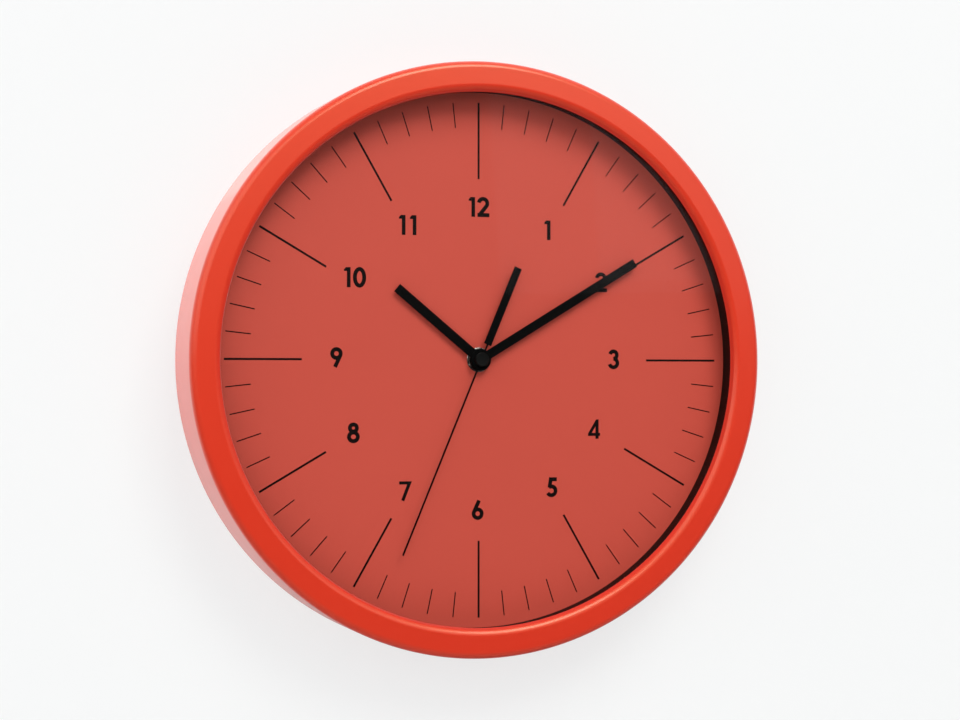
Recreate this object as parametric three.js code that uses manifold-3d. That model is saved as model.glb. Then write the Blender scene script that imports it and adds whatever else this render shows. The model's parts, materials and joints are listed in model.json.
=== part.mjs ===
// Round wall clock: moulded case ring, glass, printed dial, three hands and a quartz movement.
// Millimetres. +Z is up (12 o'clock), the clock looks along -Y, and +X is 3 o'clock.
// The wall is the plane y = 0. The origin is where the nail bears in the keyhole of the back cover.
import * as THREE from "three";
import { mergeVertices } from "three/addons/utils/BufferGeometryUtils.js";
import Module from "manifold-3d";

const wasm = await Module();
wasm.setup();

// ---------------------------------------------------------------- driving dimensions

// Case ring
const CASE_DIAMETER = 300;
const CASE_DEPTH = 43;
const CASE_WALL = 3;
const BEZEL_WIDTH = 15.4; // from the outside to the narrowest point of the lip
const LIP_DEPTH = 4.5; // from the front face to the seat of the glass
const LIP_FLARE = 0.6; // how much wider the lip is where its rounding ends
const OUTER_EDGE_RADIUS = 4;
const INNER_EDGE_RADIUS = 4;
const SIDE_ANGLE = 0; // directions that the rounded edges start and end at, in degrees
const FACE_ANGLE = -86; // the front face leans a little outwards
const FRONT_ANGLE = -90;
const LIP_ANGLE = -144;
const LOCATING_RIB = 1.7;
const LOCATING_RIB_OVERLAP = 0.8; // how far the locating rib reaches past the dial's back

// Glass, spacer and dial
const GLASS_BITE = 4.2; // how far the glass reaches in behind the lip
const GLASS_THICKNESS = 2;
const SPACER_WALL = 3.1;
const SPACER_DEPTH = 9.3;
const DIAL_THICKNESS = 1.5;
const EDGE_FIT = 0.5; // room around glass, spacer and dial
const SEAT_GAP = 0.1; // between pieces that are clamped face to face

// Back cover and how it hangs
const COVER_RECESS = 3.5; // from the wall to the cover's back face
const COVER_PLATE = 2.5;
const COVER_FIT = 0.5;
const COVER_RIM_WALL = 3;
const COVER_RIB = 2;
const COVER_RIB_DEPTH = 6;
const COVER_RIBS = 8;
const WINDOW_FIT = 0.9; // between the movement's snap lugs and the window
const WINDOW_FRAME = 2.5;
const HANGER_HEIGHT = 105; // from the hand axis up to where the nail bears
const KEYHOLE_SLOT = 5;
const KEYHOLE_ENTRY = 10;
const KEYHOLE_DROP = 12; // from the bearing point down to the middle of the entry hole
const KEYHOLE_PAD = 5; // margin of thicker wall around the keyhole
const KEYHOLE_PAD_DEPTH = 1.5;
const RIB_INSET = 1; // how far the ribs stay inside the rim's outside

// Screws of the back cover
const SCREWS = 6;
const SCREW_START = 30; // degrees clockwise from 12 to the first screw
const SCREW_RADIUS = 1.4;
const SCREW_HEAD_RADIUS = 2.7;
const SCREW_HEAD_HEIGHT = 1.7;
const SCREW_LENGTH = 12;
const SCREW_FIT = 0.3;
const SCREW_RECESS_WIDTH = 0.9;
const SCREW_RECESS_DEPTH = 0.9;
const SCREW_RECESS_REACH = 1.9; // from the screw's middle to the end of the cross
const BOSS_RADIUS = 3.2;

// Battery
const BATTERY_DIAMETER = 14.5;
const BATTERY_LENGTH = 50.5;
const BATTERY_NUB_RADIUS = 2.7;
const BATTERY_NUB_HEIGHT = 1;
const BATTERY_EDGE = 0.6;
const BATTERY_GAP = 0.35;
const CONTACT_SHEET = 0.4;
const CONTACT_HEIGHT = 11;
const CONTACT_WALL_GAP = 0.3;
const SPRING_HEIGHT = 1.5;
const SPRING_RADIUS = 3;
const SPRING_TIP_RADIUS = 1.5;
const CONTACT_LAP = 2.5; // how far the positive contact reaches up beside the board
const FINGER_REACH = 1;
const FINGER_WIDTH = 1.5;
const RUN_LIFT = 0.2; // of the negative contact's run above the bay's wall
const RUN_WIDTH = 2;
const RISER_INSET = 3; // from the board's edge to the riser of the negative contact
const RISER_LAP = 1.2;

// Movement housing
const MOVEMENT_DEPTH = 16;
const MOVEMENT_TOP = 28; // from the hand axis up
const MOVEMENT_WALL = 1.2;
const RUBBER_THICKNESS = 1;
const RUBBER_RADIUS = 11;
const LUG_THICKNESS = 1;
const LUG_WIDTH = 6;
const LUG_LENGTH = 6;
const LUG_HEIGHTS = [0, 20];
const LUG_ROOT = 1; // how far a lug runs into the rear cover
const BUSH_RADIUS = 4;
const BUSH_FIT = 0.3;
const WASHER_RADIUS = 6.3;
const WASHER_THICKNESS = 0.4;
const NUT_ACROSS_FLATS = 10;
const NUT_THICKNESS = 1.3;

// Tubes and arbors on the hand axis
const RUNNING_FIT = 0.2;
const HOUR_TUBE_RADIUS = 2.55;
const MINUTE_TUBE_RADIUS = 1.55;
const ARBOR_RADIUS = 0.42;
const PIVOT_FIT = 0.15;
const PIVOT_ENGAGEMENT = 1.5;
const PIVOT_END_GAP = 0.3;
const BEARING_RADIUS = 1.4;
const BEARING_FLOOR = 0.4; // left under a blind hole in the rear cover

// Gear train: tooth counts and modules
const MOTOR_MODULE = 0.38; // rotor pinion on intermediate wheel
const SECONDS_MODULE = 0.45; // intermediate pinion on seconds wheel
const MINUTE_MODULE = 0.38; // third pinion on centre wheel
const MOTION_MODULE = 0.5; // cannon pinion and setting pinion on motion wheel
const ROTOR_PINION = 6;
const INTERMEDIATE_WHEEL = 36;
const INTERMEDIATE_PINION = 6;
const SECONDS_WHEEL = 30;
const SECONDS_PINION = 6;
const THIRD_WHEEL = 45;
const THIRD_PINION = 6;
const CENTRE_WHEEL = 48;
const CANNON_PINION = 8;
const MOTION_WHEEL = 24;
const MOTION_PINION = 6;
const HOUR_WHEEL = 24;
const SETTING_PINION = 8;
const TOOTH_TIP = 0.7; // above and below the pitch circle, in modules
const TOOTH_ROOT = 1.15;
const TOOTH_TIP_SHARE = 0.1; // half a tooth's width at its tip, as a share of the pitch
const TOOTH_ROOT_SHARE = 0.28;
const PINION_MOST_TEETH = 8;
const PINION_SLIMNESS = 0.8; // pinion teeth are thinner than wheel teeth
const WHEEL_THICKNESS = 1;
const LAYER_GAP = 0.55; // between one wheel and the next
const FIRST_WHEEL_GAP = 0.4; // between the housing's front wall and the hour wheel
const PINION_EXTRA = 0.2; // how far a pinion stands past its wheel on each side
const TRAIN_CLEARANCE = 0.98; // from the centre wheel to the battery bay
const HALF_TURN = 180; // in degrees
const TRAIN_DIRECTIONS = { third: 15, intermediate: 280, rotor: 300, motion: 100, setting: 60 };
const BRIDGE_THICKNESS = 1.2;
const BRIDGE_MARGIN = 3.9;
const BRIDGE_SIDE_MARGIN = 0.4;
const BRIDGE_SHOULDER_MARGIN = 0.9;
const BRIDGE_POST_INSET = 0.6;
const BRIDGE_POST_HEIGHTS = [-2.7, 1.7]; // from the rotor
const BRIDGE_PIN_REACH = 0.4; // of the pins past the bridge
const BRIDGE_POST_RADIUS = 1.4;
const BRIDGE_PIN_RADIUS = 0.7;
const POST_CLEARANCE = 0.3;

// Motor
const MAGNET_RADIUS = 2.8;
const MAGNET_LENGTH = 2.2;
const STATOR_THICKNESS = 1.2;
const STATOR_GAP = 0.5;
const STATOR_MARGIN = 1;
const STATOR_LEG = 3.4;
const STATOR_LEFT_ROOM = 2; // between the rotor's margin and the left leg
const STATOR_TOP_MARGIN = 1;
const STATOR_CUT_LOW = 0.8;
const STATOR_CUT_HIGH = 1.4;
const STATOR_YOKE = 0.4; // over the rotor's margin
const STATOR_SLOPE_LOW = 3.2;
const STATOR_SLOPE_HIGH = 4.8;
const STATOR_POST_RADIUS = 1.2;
const STATOR_POST_DROPS = [6.6, 1.4]; // from the stator's top to its left and right posts
const COIL_LENGTH = 15.6;
const COIL_AXIS_TOP = 6.4; // from the housing's top inner face down to the coil's middle
const COIL_FLANGE_RADIUS = 2.4;
const COIL_WINDING_RADIUS = 2.15;
const COIL_TUBE_RADIUS = 1.75;
const COIL_BORE_RADIUS = 1.5;
const COIL_FLANGE = 0.7;
const COIL_END_GAP = 0.4; // between a stator leg and the bobbin
const CORE_HEIGHT = 2.4;

// Circuit board
const BOARD_WIDTH = 11.3;
const BOARD_HEIGHT = 18;
const BOARD_THICKNESS = 1;
const BOARD_TOP_GAP = 1.8; // from the housing's top inner face
const BOARD_POST_RADIUS = 1;
const BOARD_POST_INSET = 0.5;
const BOARD_POST_MARGIN = 2;
const CRYSTAL_RADIUS = 1;
const CRYSTAL_LENGTH = 6;
const CRYSTAL_INSET = { x: 2.5, z: 1 };
const CHIP_RADIUS = 2.6;
const CHIP_HEIGHT = 1.2;
const CHIP_INSET = { x: -1, z: 6 }; // from the middle and the bottom of the board
const CHIP_DOME = [[0.93, 0.4], [0.68, 0.78], [0.3, 0.97]]; // shares of its radius and height

// Setting knob
const KNOB_RADIUS = 6;
const KNOB_THICKNESS = 2.6;
const KNOB_SHAFT_RADIUS = 1.2;
const KNOB_FLUTES = 12;
const KNOB_FLUTE_RADIUS = 0.7;
const KNOB_SLOT = 1.2;
const KNOB_SLOT_DEPTH = 1;
const KNOB_GAP = 0.2; // between the knob and the rear cover
const SETTING_POST_WALL = 0.8;

// Hands: heights are in front of the dial
const HOUR_HAND_LENGTH = 56.5;
const HOUR_HAND_WIDTH = 4.8;
const HOUR_HUB_RADIUS = 5.6;
const MINUTE_HAND_LENGTH = 98.2;
const MINUTE_HAND_WIDTH = 4.6;
const MINUTE_HUB_RADIUS = 5.3;
const SECOND_HAND_LENGTH = 106.2;
const SECOND_HAND_WIDTH = 0.9;
const COUNTERWEIGHT_WIDTH = 4;
const COUNTERWEIGHT_START = 8.3;
const COUNTERWEIGHT_END = 50.8;
const SECOND_HUB_RADIUS = 2.6;
const HAND_SHEET = 0.4;
const HUB_HEIGHT = 0.95;
const HAND_GAP = 0.3; // from one hub to the next
const HUB_FIT = 0.05;
const CAP_RADIUS = 3.55;
const CAP_HEIGHT = 1.4;
const CAP_EDGE = 0.25;
const HANDS_AT_REST = { hour: 309.7, minute: 58.9, second: 202.8 };

// How finely round shapes are cut
const RING_SEGMENTS = 60;
const ROUND_SEGMENTS = 24;
const FINE_SEGMENTS = 12;
const EDGE_STEPS = 3;
const FLUTE_SEGMENTS = 8;

// How far one shape runs into the shape it is joined to, and how far a cut runs past a face
const LAP = 0.5;
const PAST = 1;

// ---------------------------------------------------------------- worked-out places

const CASE_RADIUS = CASE_DIAMETER / 2;
const FRONT_Y = -CASE_DEPTH;
const WALL_INNER_RADIUS = CASE_RADIUS - CASE_WALL;
const LIP_RADIUS = CASE_RADIUS - BEZEL_WIDTH;
const LIP_BACK_Y = FRONT_Y + LIP_DEPTH;

const GLASS_RADIUS = LIP_RADIUS + GLASS_BITE;
const RIB_INNER_RADIUS = GLASS_RADIUS + EDGE_FIT;
const RIB_OUTER_RADIUS = RIB_INNER_RADIUS + LOCATING_RIB;
const GLASS_Y = LIP_BACK_Y + SEAT_GAP;
const SPACER_Y = GLASS_Y + GLASS_THICKNESS + SEAT_GAP;
const DIAL_Y = SPACER_Y + SPACER_DEPTH + SEAT_GAP; // front face of the dial
const DIAL_BACK_Y = DIAL_Y + DIAL_THICKNESS;

const COVER_FRONT_Y = -COVER_RECESS - COVER_PLATE;
const BOSS_CIRCLE = (RIB_OUTER_RADIUS + WALL_INNER_RADIUS) / 2;

const MOVEMENT_Y = DIAL_BACK_Y + SEAT_GAP + RUBBER_THICKNESS + SEAT_GAP; // front face
const MOVEMENT_BACK_Y = MOVEMENT_Y + MOVEMENT_DEPTH;
const FLOOR_Y = MOVEMENT_Y + MOVEMENT_WALL;
const LID_Y = MOVEMENT_BACK_Y - MOVEMENT_WALL;
const layerY = (n) => FLOOR_Y + FIRST_WHEEL_GAP + n * (WHEEL_THICKNESS + LAYER_GAP);
const HOUR_LAYER = layerY(0);
const MOTION_LAYER = layerY(1);
const CENTRE_LAYER = layerY(2);
const THIRD_LAYER = layerY(3);
const SECONDS_LAYER = layerY(4);
const INTERMEDIATE_LAYER = layerY(5);
const MAGNET_Y = INTERMEDIATE_LAYER + WHEEL_THICKNESS + LAYER_GAP;
const STATOR_Y = MAGNET_Y + (MAGNET_LENGTH - STATOR_THICKNESS) / 2;

const WASHER_Y = DIAL_Y - SEAT_GAP - WASHER_THICKNESS;
const NUT_Y = WASHER_Y - SEAT_GAP - NUT_THICKNESS;
const BUSH_FRONT_Y = NUT_Y - SEAT_GAP;
const HOUR_HUB_Y = BUSH_FRONT_Y - SEAT_GAP - HUB_HEIGHT;
const MINUTE_HUB_Y = HOUR_HUB_Y - HAND_GAP - HUB_HEIGHT;
const SECOND_HAND_Y = MINUTE_HUB_Y - HAND_GAP - HAND_SHEET;
const CAP_Y = SECOND_HAND_Y - SEAT_GAP - CAP_HEIGHT;

const toRadians = THREE.MathUtils.degToRad;
const clockwise = (degrees, distance) => ({
  x: distance * Math.sin(toRadians(degrees)),
  z: distance * Math.cos(toRadians(degrees)),
});
const stepFrom = (from, degrees, distance) => {
  const step = clockwise(degrees, distance);
  return { x: from.x + step.x, z: from.z + step.z };
};
const meshDistance = (teethA, teethB, module) => ((teethA + teethB) / 2) * module;
const tipRadius = (teeth, module) => (teeth / 2 + TOOTH_TIP) * module;

// Modules of the meshes that share a centre distance with another one
const THIRD_DISTANCE = meshDistance(THIRD_PINION, CENTRE_WHEEL, MINUTE_MODULE);
const THIRD_MODULE = (2 * THIRD_DISTANCE) / (SECONDS_PINION + THIRD_WHEEL);
const MOTION_DISTANCE = meshDistance(CANNON_PINION, MOTION_WHEEL, MOTION_MODULE);
const HOUR_MODULE = (2 * MOTION_DISTANCE) / (MOTION_PINION + HOUR_WHEEL);

const CENTRE = { x: 0, z: 0 };
const THIRD = stepFrom(CENTRE, TRAIN_DIRECTIONS.third, THIRD_DISTANCE);
const INTERMEDIATE = stepFrom(
  CENTRE,
  TRAIN_DIRECTIONS.intermediate,
  meshDistance(INTERMEDIATE_PINION, SECONDS_WHEEL, SECONDS_MODULE),
);
const ROTOR = stepFrom(
  INTERMEDIATE,
  TRAIN_DIRECTIONS.rotor,
  meshDistance(ROTOR_PINION, INTERMEDIATE_WHEEL, MOTOR_MODULE),
);
const MOTION = stepFrom(CENTRE, TRAIN_DIRECTIONS.motion, MOTION_DISTANCE);
const SETTING = stepFrom(
  MOTION,
  TRAIN_DIRECTIONS.setting,
  meshDistance(SETTING_PINION, MOTION_WHEEL, MOTION_MODULE),
);

// Movement housing, worked outwards from the train and the battery
const BAY_TOP_Z = -tipRadius(CENTRE_WHEEL, MINUTE_MODULE) - TRAIN_CLEARANCE - MOVEMENT_WALL;
const BATTERY_Z = BAY_TOP_Z - BATTERY_GAP - BATTERY_DIAMETER / 2;
const BAY_BOTTOM_Z = BATTERY_Z - BATTERY_DIAMETER / 2 - BATTERY_GAP;
const MOVEMENT_BOTTOM = BAY_BOTTOM_Z - MOVEMENT_WALL;
const CONTACT_ROOM = CONTACT_WALL_GAP + CONTACT_SHEET + SEAT_GAP;
const BAY_HALF_WIDTH = (BATTERY_LENGTH + 2 * CONTACT_ROOM + SPRING_HEIGHT) / 2;
const MOVEMENT_HALF_WIDTH = BAY_HALF_WIDTH + MOVEMENT_WALL;
const POSITIVE_X = BAY_HALF_WIDTH - CONTACT_WALL_GAP - CONTACT_SHEET;
const NEGATIVE_X = -BAY_HALF_WIDTH + CONTACT_WALL_GAP;
const BATTERY_TOP_X = POSITIVE_X - SEAT_GAP; // end of the nub
const BATTERY_Y = FLOOR_Y + BATTERY_GAP + BATTERY_DIAMETER / 2;
const INNER_TOP_Z = MOVEMENT_TOP - MOVEMENT_WALL;
const COIL_Z = INNER_TOP_Z - COIL_AXIS_TOP;
const BOARD_RIGHT_X = POSITIVE_X - CONTACT_WALL_GAP;
const BOARD_LEFT_X = BOARD_RIGHT_X - BOARD_WIDTH;
const BOARD_TOP_Z = INNER_TOP_Z - BOARD_TOP_GAP;
const BOARD_BOTTOM_Z = BOARD_TOP_Z - BOARD_HEIGHT;
const BOARD_Y = MAGNET_Y;
const BOARD_BACK_Y = BOARD_Y + BOARD_THICKNESS;

// ---------------------------------------------------------------- shape helpers

function solid(geometry) {
  const bare = geometry.index ? geometry.toNonIndexed() : geometry.clone();
  bare.deleteAttribute("normal");
  bare.deleteAttribute("uv");
  const merged = mergeVertices(bare, 1e-4);
  const triVerts = new Uint32Array(merged.index.array);
  const vertProperties = merged.attributes.position.array;
  return new wasm.Manifold(new wasm.Mesh({ numProp: 3, vertProperties, triVerts }));
}

function geometryOf(body) {
  const { vertProperties, triVerts, numProp } = body.getMesh();
  const positions = new Float32Array((vertProperties.length / numProp) * 3);
  for (let v = 0; v < positions.length / 3; v++) {
    positions.set(vertProperties.subarray(v * numProp, v * numProp + 3), v * 3);
  }
  const geometry = new THREE.BufferGeometry();
  geometry.setAttribute("position", new THREE.BufferAttribute(positions, 3));
  geometry.setIndex(new THREE.BufferAttribute(new Uint32Array(triVerts), 1));
  geometry.computeVertexNormals();
  return geometry;
}

const union = (bodies) => bodies.reduce((sum, body) => sum.add(body));
const without = (body, cuts) => cuts.reduce((rest, cut) => rest.subtract(cut), body);

// A box between two corners.
function box(x0, x1, y0, y1, z0, z1) {
  const geometry = new THREE.BoxGeometry(x1 - x0, y1 - y0, z1 - z0);
  geometry.translate((x0 + x1) / 2, (y0 + y1) / 2, (z0 + z1) / 2);
  return solid(geometry);
}

// A rod along Y from y0 to y1.
function rod(place, y0, y1, radius, segments = FINE_SEGMENTS) {
  const geometry = new THREE.CylinderGeometry(radius, radius, y1 - y0, segments);
  geometry.translate(place.x, (y0 + y1) / 2, place.z);
  return solid(geometry);
}

// A closed profile of [radius, y] points turned about the Y axis, with its faces outwards.
function turned(profile, segments) {
  const points = profile.map(([radius, y]) => new THREE.Vector2(radius, y));
  if (THREE.ShapeUtils.area(points) < 0) points.reverse();
  const onAxis = points[0].x === 0 && points.at(-1).x === 0;
  if (!onAxis) points.push(points[0].clone());
  return solid(new THREE.LatheGeometry(points, segments));
}

function ring(inner, outer, y0, y1, segments) {
  return turned([[inner, y0], [outer, y0], [outer, y1], [inner, y1]], segments);
}

// A flat outline of [x, z] points, made thick from y0 to y1.
function plate(outline, y0, y1, holes = []) {
  const shape = new THREE.Shape(outline.map(([x, z]) => new THREE.Vector2(x, z)));
  for (const hole of holes) {
    const path = new THREE.Path();
    path.absarc(hole.x, hole.z, hole.radius, 0, 2 * Math.PI, true);
    shape.holes.push(path);
  }
  const settings = { depth: y1 - y0, bevelEnabled: false, curveSegments: FINE_SEGMENTS };
  const geometry = new THREE.ExtrudeGeometry(shape, settings);
  geometry.rotateX(Math.PI / 2);
  geometry.translate(0, y1, 0);
  return solid(geometry);
}

// Points of a quarter-round edge from one angle to another, in degrees, about a centre.
function roundedEdge(centreRadius, centreY, radius, from, to) {
  return Array.from({ length: EDGE_STEPS + 1 }, (_, i) => {
    const angle = toRadians(from + ((to - from) * i) / EDGE_STEPS);
    return [centreRadius + radius * Math.cos(angle), centreY + radius * Math.sin(angle)];
  });
}

// A toothed disc about the Y axis. A tooth points at the angle `phase`, clockwise from +Z.
function toothed(teeth, module, y0, y1, phase, extra = 0) {
  const pitch = (2 * Math.PI) / teeth;
  const slim = teeth <= PINION_MOST_TEETH ? PINION_SLIMNESS : 1;
  const [atRoot, atTip] = [TOOTH_ROOT_SHARE, TOOTH_TIP_SHARE];
  const root = (teeth / 2 - TOOTH_ROOT) * module;
  const tip = tipRadius(teeth, module);
  const outline = [];
  for (let i = 0; i < teeth; i++) {
    const middle = phase + i * pitch;
    for (const [radius, share] of [[root, -atRoot], [tip, -atTip], [tip, atTip], [root, atRoot]]) {
      const angle = middle + share * slim * pitch;
      outline.push([radius * Math.sin(angle), radius * Math.cos(angle)]);
    }
  }
  return plate(outline, y0 - extra, y1 + extra);
}

// The phase of a second wheel whose tooth gaps meet the teeth of the first one.
function meshedPhase(firstPhase, firstTeeth, directionDegrees, secondTeeth) {
  const direction = toRadians(directionDegrees);
  const offset = ((direction - firstPhase) * firstTeeth) / (2 * Math.PI);
  return direction + Math.PI + ((offset - 0.5) * 2 * Math.PI) / secondTeeth;
}

// ---------------------------------------------------------------- case, glass and dial

function caseRing() {
  const lipTurn = toRadians(LIP_ANGLE);
  const shoulder = LIP_RADIUS + LIP_FLARE - INNER_EDGE_RADIUS * Math.cos(lipTurn);
  const brow = CASE_RADIUS - OUTER_EDGE_RADIUS;
  const faceTurn = toRadians(FACE_ANGLE);
  const fall = (brow - shoulder) * Math.cos(faceTurn) + OUTER_EDGE_RADIUS;
  const profile = [
    [WALL_INNER_RADIUS, 0],
    [CASE_RADIUS, 0],
    ...roundedEdge(
      brow,
      FRONT_Y - fall / Math.sin(faceTurn),
      OUTER_EDGE_RADIUS,
      SIDE_ANGLE,
      FACE_ANGLE,
    ),
    ...roundedEdge(
      shoulder,
      FRONT_Y + INNER_EDGE_RADIUS,
      INNER_EDGE_RADIUS,
      FRONT_ANGLE,
      LIP_ANGLE,
    ),
    [LIP_RADIUS, LIP_BACK_Y],
    [RIB_INNER_RADIUS, LIP_BACK_Y],
    [RIB_INNER_RADIUS, DIAL_BACK_Y + LOCATING_RIB_OVERLAP],
    [RIB_OUTER_RADIUS, DIAL_BACK_Y + LOCATING_RIB_OVERLAP],
    [RIB_OUTER_RADIUS, FRONT_Y + CASE_WALL],
    [WALL_INNER_RADIUS, FRONT_Y + CASE_WALL],
  ];
  const bossBack = COVER_FRONT_Y - SEAT_GAP;
  const bosses = screwPlaces().map((place) =>
    rod(place, FRONT_Y + CASE_WALL / 2, bossBack, BOSS_RADIUS),
  );
  const holes = screwPlaces().map((place) =>
    rod(place, screwTipY() - PAST, bossBack + PAST, SCREW_RADIUS + SCREW_FIT),
  );
  return without(union([turned(profile, RING_SEGMENTS), ...bosses]), holes);
}

function screwPlaces() {
  return Array.from({ length: SCREWS }, (_, i) =>
    clockwise(SCREW_START + (i * 360) / SCREWS, BOSS_CIRCLE),
  );
}

function screwTipY() {
  return -COVER_RECESS + SEAT_GAP - SCREW_LENGTH;
}

function glassLens() {
  return rod(CENTRE, GLASS_Y, GLASS_Y + GLASS_THICKNESS, GLASS_RADIUS, RING_SEGMENTS);
}

function spacerRing() {
  const back = SPACER_Y + SPACER_DEPTH;
  return ring(GLASS_RADIUS - SPACER_WALL, GLASS_RADIUS, SPACER_Y, back, RING_SEGMENTS);
}

function dialPlate() {
  const disc = rod(CENTRE, DIAL_Y, DIAL_BACK_Y, GLASS_RADIUS, RING_SEGMENTS);
  const holeRadius = BUSH_RADIUS + BUSH_FIT;
  const hole = rod(CENTRE, DIAL_Y - PAST, DIAL_BACK_Y + PAST, holeRadius, ROUND_SEGMENTS);
  return disc.subtract(hole);
}

// ---------------------------------------------------------------- back cover

function windowHalfSize() {
  return {
    x: MOVEMENT_HALF_WIDTH + SEAT_GAP + LUG_THICKNESS + WINDOW_FIT,
    bottom: MOVEMENT_BOTTOM - WINDOW_FIT,
    top: MOVEMENT_TOP + WINDOW_FIT,
  };
}

function coverRibs(rimRadius) {
  const { x, bottom, top } = windowHalfSize();
  const reach = Math.min(x, top, -bottom);
  const y0 = COVER_FRONT_Y - COVER_RIB_DEPTH;
  return Array.from({ length: COVER_RIBS }, (_, i) => {
    const bar = new THREE.BoxGeometry(COVER_RIB, COVER_RIB_DEPTH + LAP, rimRadius - reach);
    bar.translate(0, y0 + (COVER_RIB_DEPTH + LAP) / 2, (rimRadius + reach) / 2);
    bar.rotateY(toRadians(((i + 0.5) * 360) / COVER_RIBS));
    return solid(bar);
  });
}

function keyhole(y0, y1) {
  const slotTop = HANGER_HEIGHT - KEYHOLE_SLOT / 2;
  const entry = { x: 0, z: HANGER_HEIGHT - KEYHOLE_DROP };
  return union([
    rod({ x: 0, z: slotTop }, y0, y1, KEYHOLE_SLOT / 2, FINE_SEGMENTS),
    box(-KEYHOLE_SLOT / 2, KEYHOLE_SLOT / 2, y0, y1, entry.z, slotTop),
    rod(entry, y0, y1, KEYHOLE_ENTRY / 2, ROUND_SEGMENTS),
  ]);
}

function keyholePad() {
  const half = KEYHOLE_ENTRY / 2 + KEYHOLE_PAD;
  const bottom = HANGER_HEIGHT - KEYHOLE_DROP - half;
  const front = COVER_FRONT_Y - KEYHOLE_PAD_DEPTH;
  return box(-half, half, front, COVER_FRONT_Y + LAP, bottom, HANGER_HEIGHT + KEYHOLE_PAD);
}

function backCover() {
  const rimRadius = GLASS_RADIUS - EDGE_FIT;
  const back = -COVER_RECESS;
  const { x, bottom, top } = windowHalfSize();
  const frame = COVER_FRONT_Y - COVER_RIB_DEPTH;
  const disc = rod(CENTRE, COVER_FRONT_Y, back, WALL_INNER_RADIUS - COVER_FIT, RING_SEGMENTS);
  const rimFront = DIAL_BACK_Y + SEAT_GAP;
  const rim = ring(rimRadius - COVER_RIM_WALL, rimRadius, rimFront, back, RING_SEGMENTS);
  const surround = box(
    -x - WINDOW_FRAME,
    x + WINDOW_FRAME,
    frame,
    back,
    bottom - WINDOW_FRAME,
    top + WINDOW_FRAME,
  );
  const ribs = coverRibs(rimRadius - RIB_INSET);
  const body = union([disc, rim, surround, keyholePad(), ...ribs]);
  const window = box(-x, x, frame - PAST, back + PAST, bottom, top);
  const screwHoles = screwPlaces().map((place) =>
    rod(place, COVER_FRONT_Y - PAST, back + PAST, SCREW_RADIUS + SCREW_FIT),
  );
  return without(body, [window, keyhole(frame - PAST, back + PAST), ...screwHoles]);
}

function coverScrew(place) {
  const headFront = -COVER_RECESS + SEAT_GAP;
  const headBack = headFront + SCREW_HEAD_HEIGHT;
  const body = union([
    rod(place, screwTipY(), headFront + LAP, SCREW_RADIUS),
    rod(place, headFront, headBack, SCREW_HEAD_RADIUS),
  ]);
  const half = SCREW_RECESS_WIDTH / 2;
  const arm = SCREW_RECESS_REACH;
  const deep = headBack - SCREW_RECESS_DEPTH;
  const cross = union([
    box(place.x - arm, place.x + arm, deep, headBack + PAST, place.z - half, place.z + half),
    box(place.x - half, place.x + half, deep, headBack + PAST, place.z - arm, place.z + arm),
  ]);
  return body.subtract(cross);
}

// ---------------------------------------------------------------- movement housing

function bearing(place, y0, y1) {
  return rod(place, y0, y1, BEARING_RADIUS);
}

function bridgeOutline() {
  const left = -BAY_HALF_WIDTH + SEAT_GAP;
  const low = Math.min(INTERMEDIATE.z, ROTOR.z) - BRIDGE_MARGIN;
  const right = INTERMEDIATE.x + BEARING_RADIUS + BRIDGE_SIDE_MARGIN;
  const high = ROTOR.z + BRIDGE_MARGIN;
  const shoulder = INTERMEDIATE.z + BEARING_RADIUS + BRIDGE_SHOULDER_MARGIN;
  return [
    [left, low],
    [right, low],
    [right, shoulder],
    [ROTOR.x + BRIDGE_MARGIN, high],
    [left, high],
  ];
}

function bridgePosts() {
  const x = -BAY_HALF_WIDTH + BRIDGE_POST_RADIUS + BRIDGE_POST_INSET;
  return BRIDGE_POST_HEIGHTS.map((height) => ({ x, z: ROTOR.z + height }));
}

function bridgeY() {
  return CENTRE_LAYER + WHEEL_THICKNESS + LAYER_GAP - PINION_EXTRA;
}

function movementHousing() {
  const wide = MOVEMENT_HALF_WIDTH;
  const inner = BAY_HALF_WIDTH;
  const back = MOVEMENT_BACK_Y;
  const shell = box(-wide, wide, MOVEMENT_Y, back, MOVEMENT_BOTTOM, MOVEMENT_TOP);
  const past = back + PAST;
  const wallTop = BAY_TOP_Z + MOVEMENT_WALL;
  const rooms = [
    box(-inner, inner, FLOOR_Y, past, wallTop, INNER_TOP_Z),
    box(-inner, inner, FLOOR_Y, past, BAY_BOTTOM_Z, BAY_TOP_Z),
    box(-wide - PAST, wide + PAST, LID_Y - SEAT_GAP, past, BAY_TOP_Z, MOVEMENT_TOP + PAST),
    contactSlot(POSITIVE_X),
    contactSlot(NEGATIVE_X),
  ];
  const bush = rod(CENTRE, BUSH_FRONT_Y, MOVEMENT_Y + LAP, BUSH_RADIUS, ROUND_SEGMENTS);
  const bore = HOUR_TUBE_RADIUS + RUNNING_FIT;
  const bushBore = rod(CENTRE, BUSH_FRONT_Y - PAST, FLOOR_Y + PAST, bore, ROUND_SEGMENTS);
  const gearPosts = [thirdPost(), motionPost(), settingPost(), ...bridgeSupports()];
  const body = union([without(shell, rooms), bush, ...gearPosts, ...boardPosts(), ...statorPosts()]);
  return without(body, [bushBore, pivotHole(THIRD, thirdPostTop()), settingHole()]);
}

// Where a battery contact passes the wall between the battery and the train.
function contactSlot(x) {
  const y0 = BATTERY_Y - CONTACT_HEIGHT / 2 - SEAT_GAP;
  const low = BAY_TOP_Z - LAP;
  const high = BAY_TOP_Z + MOVEMENT_WALL + LAP;
  const outer = x > 0 ? BAY_HALF_WIDTH : x + CONTACT_SHEET + CONTACT_WALL_GAP;
  const innerX = x > 0 ? x - CONTACT_WALL_GAP : -BAY_HALF_WIDTH;
  return box(innerX, outer, y0, MOVEMENT_BACK_Y + PAST, low, high);
}

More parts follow.
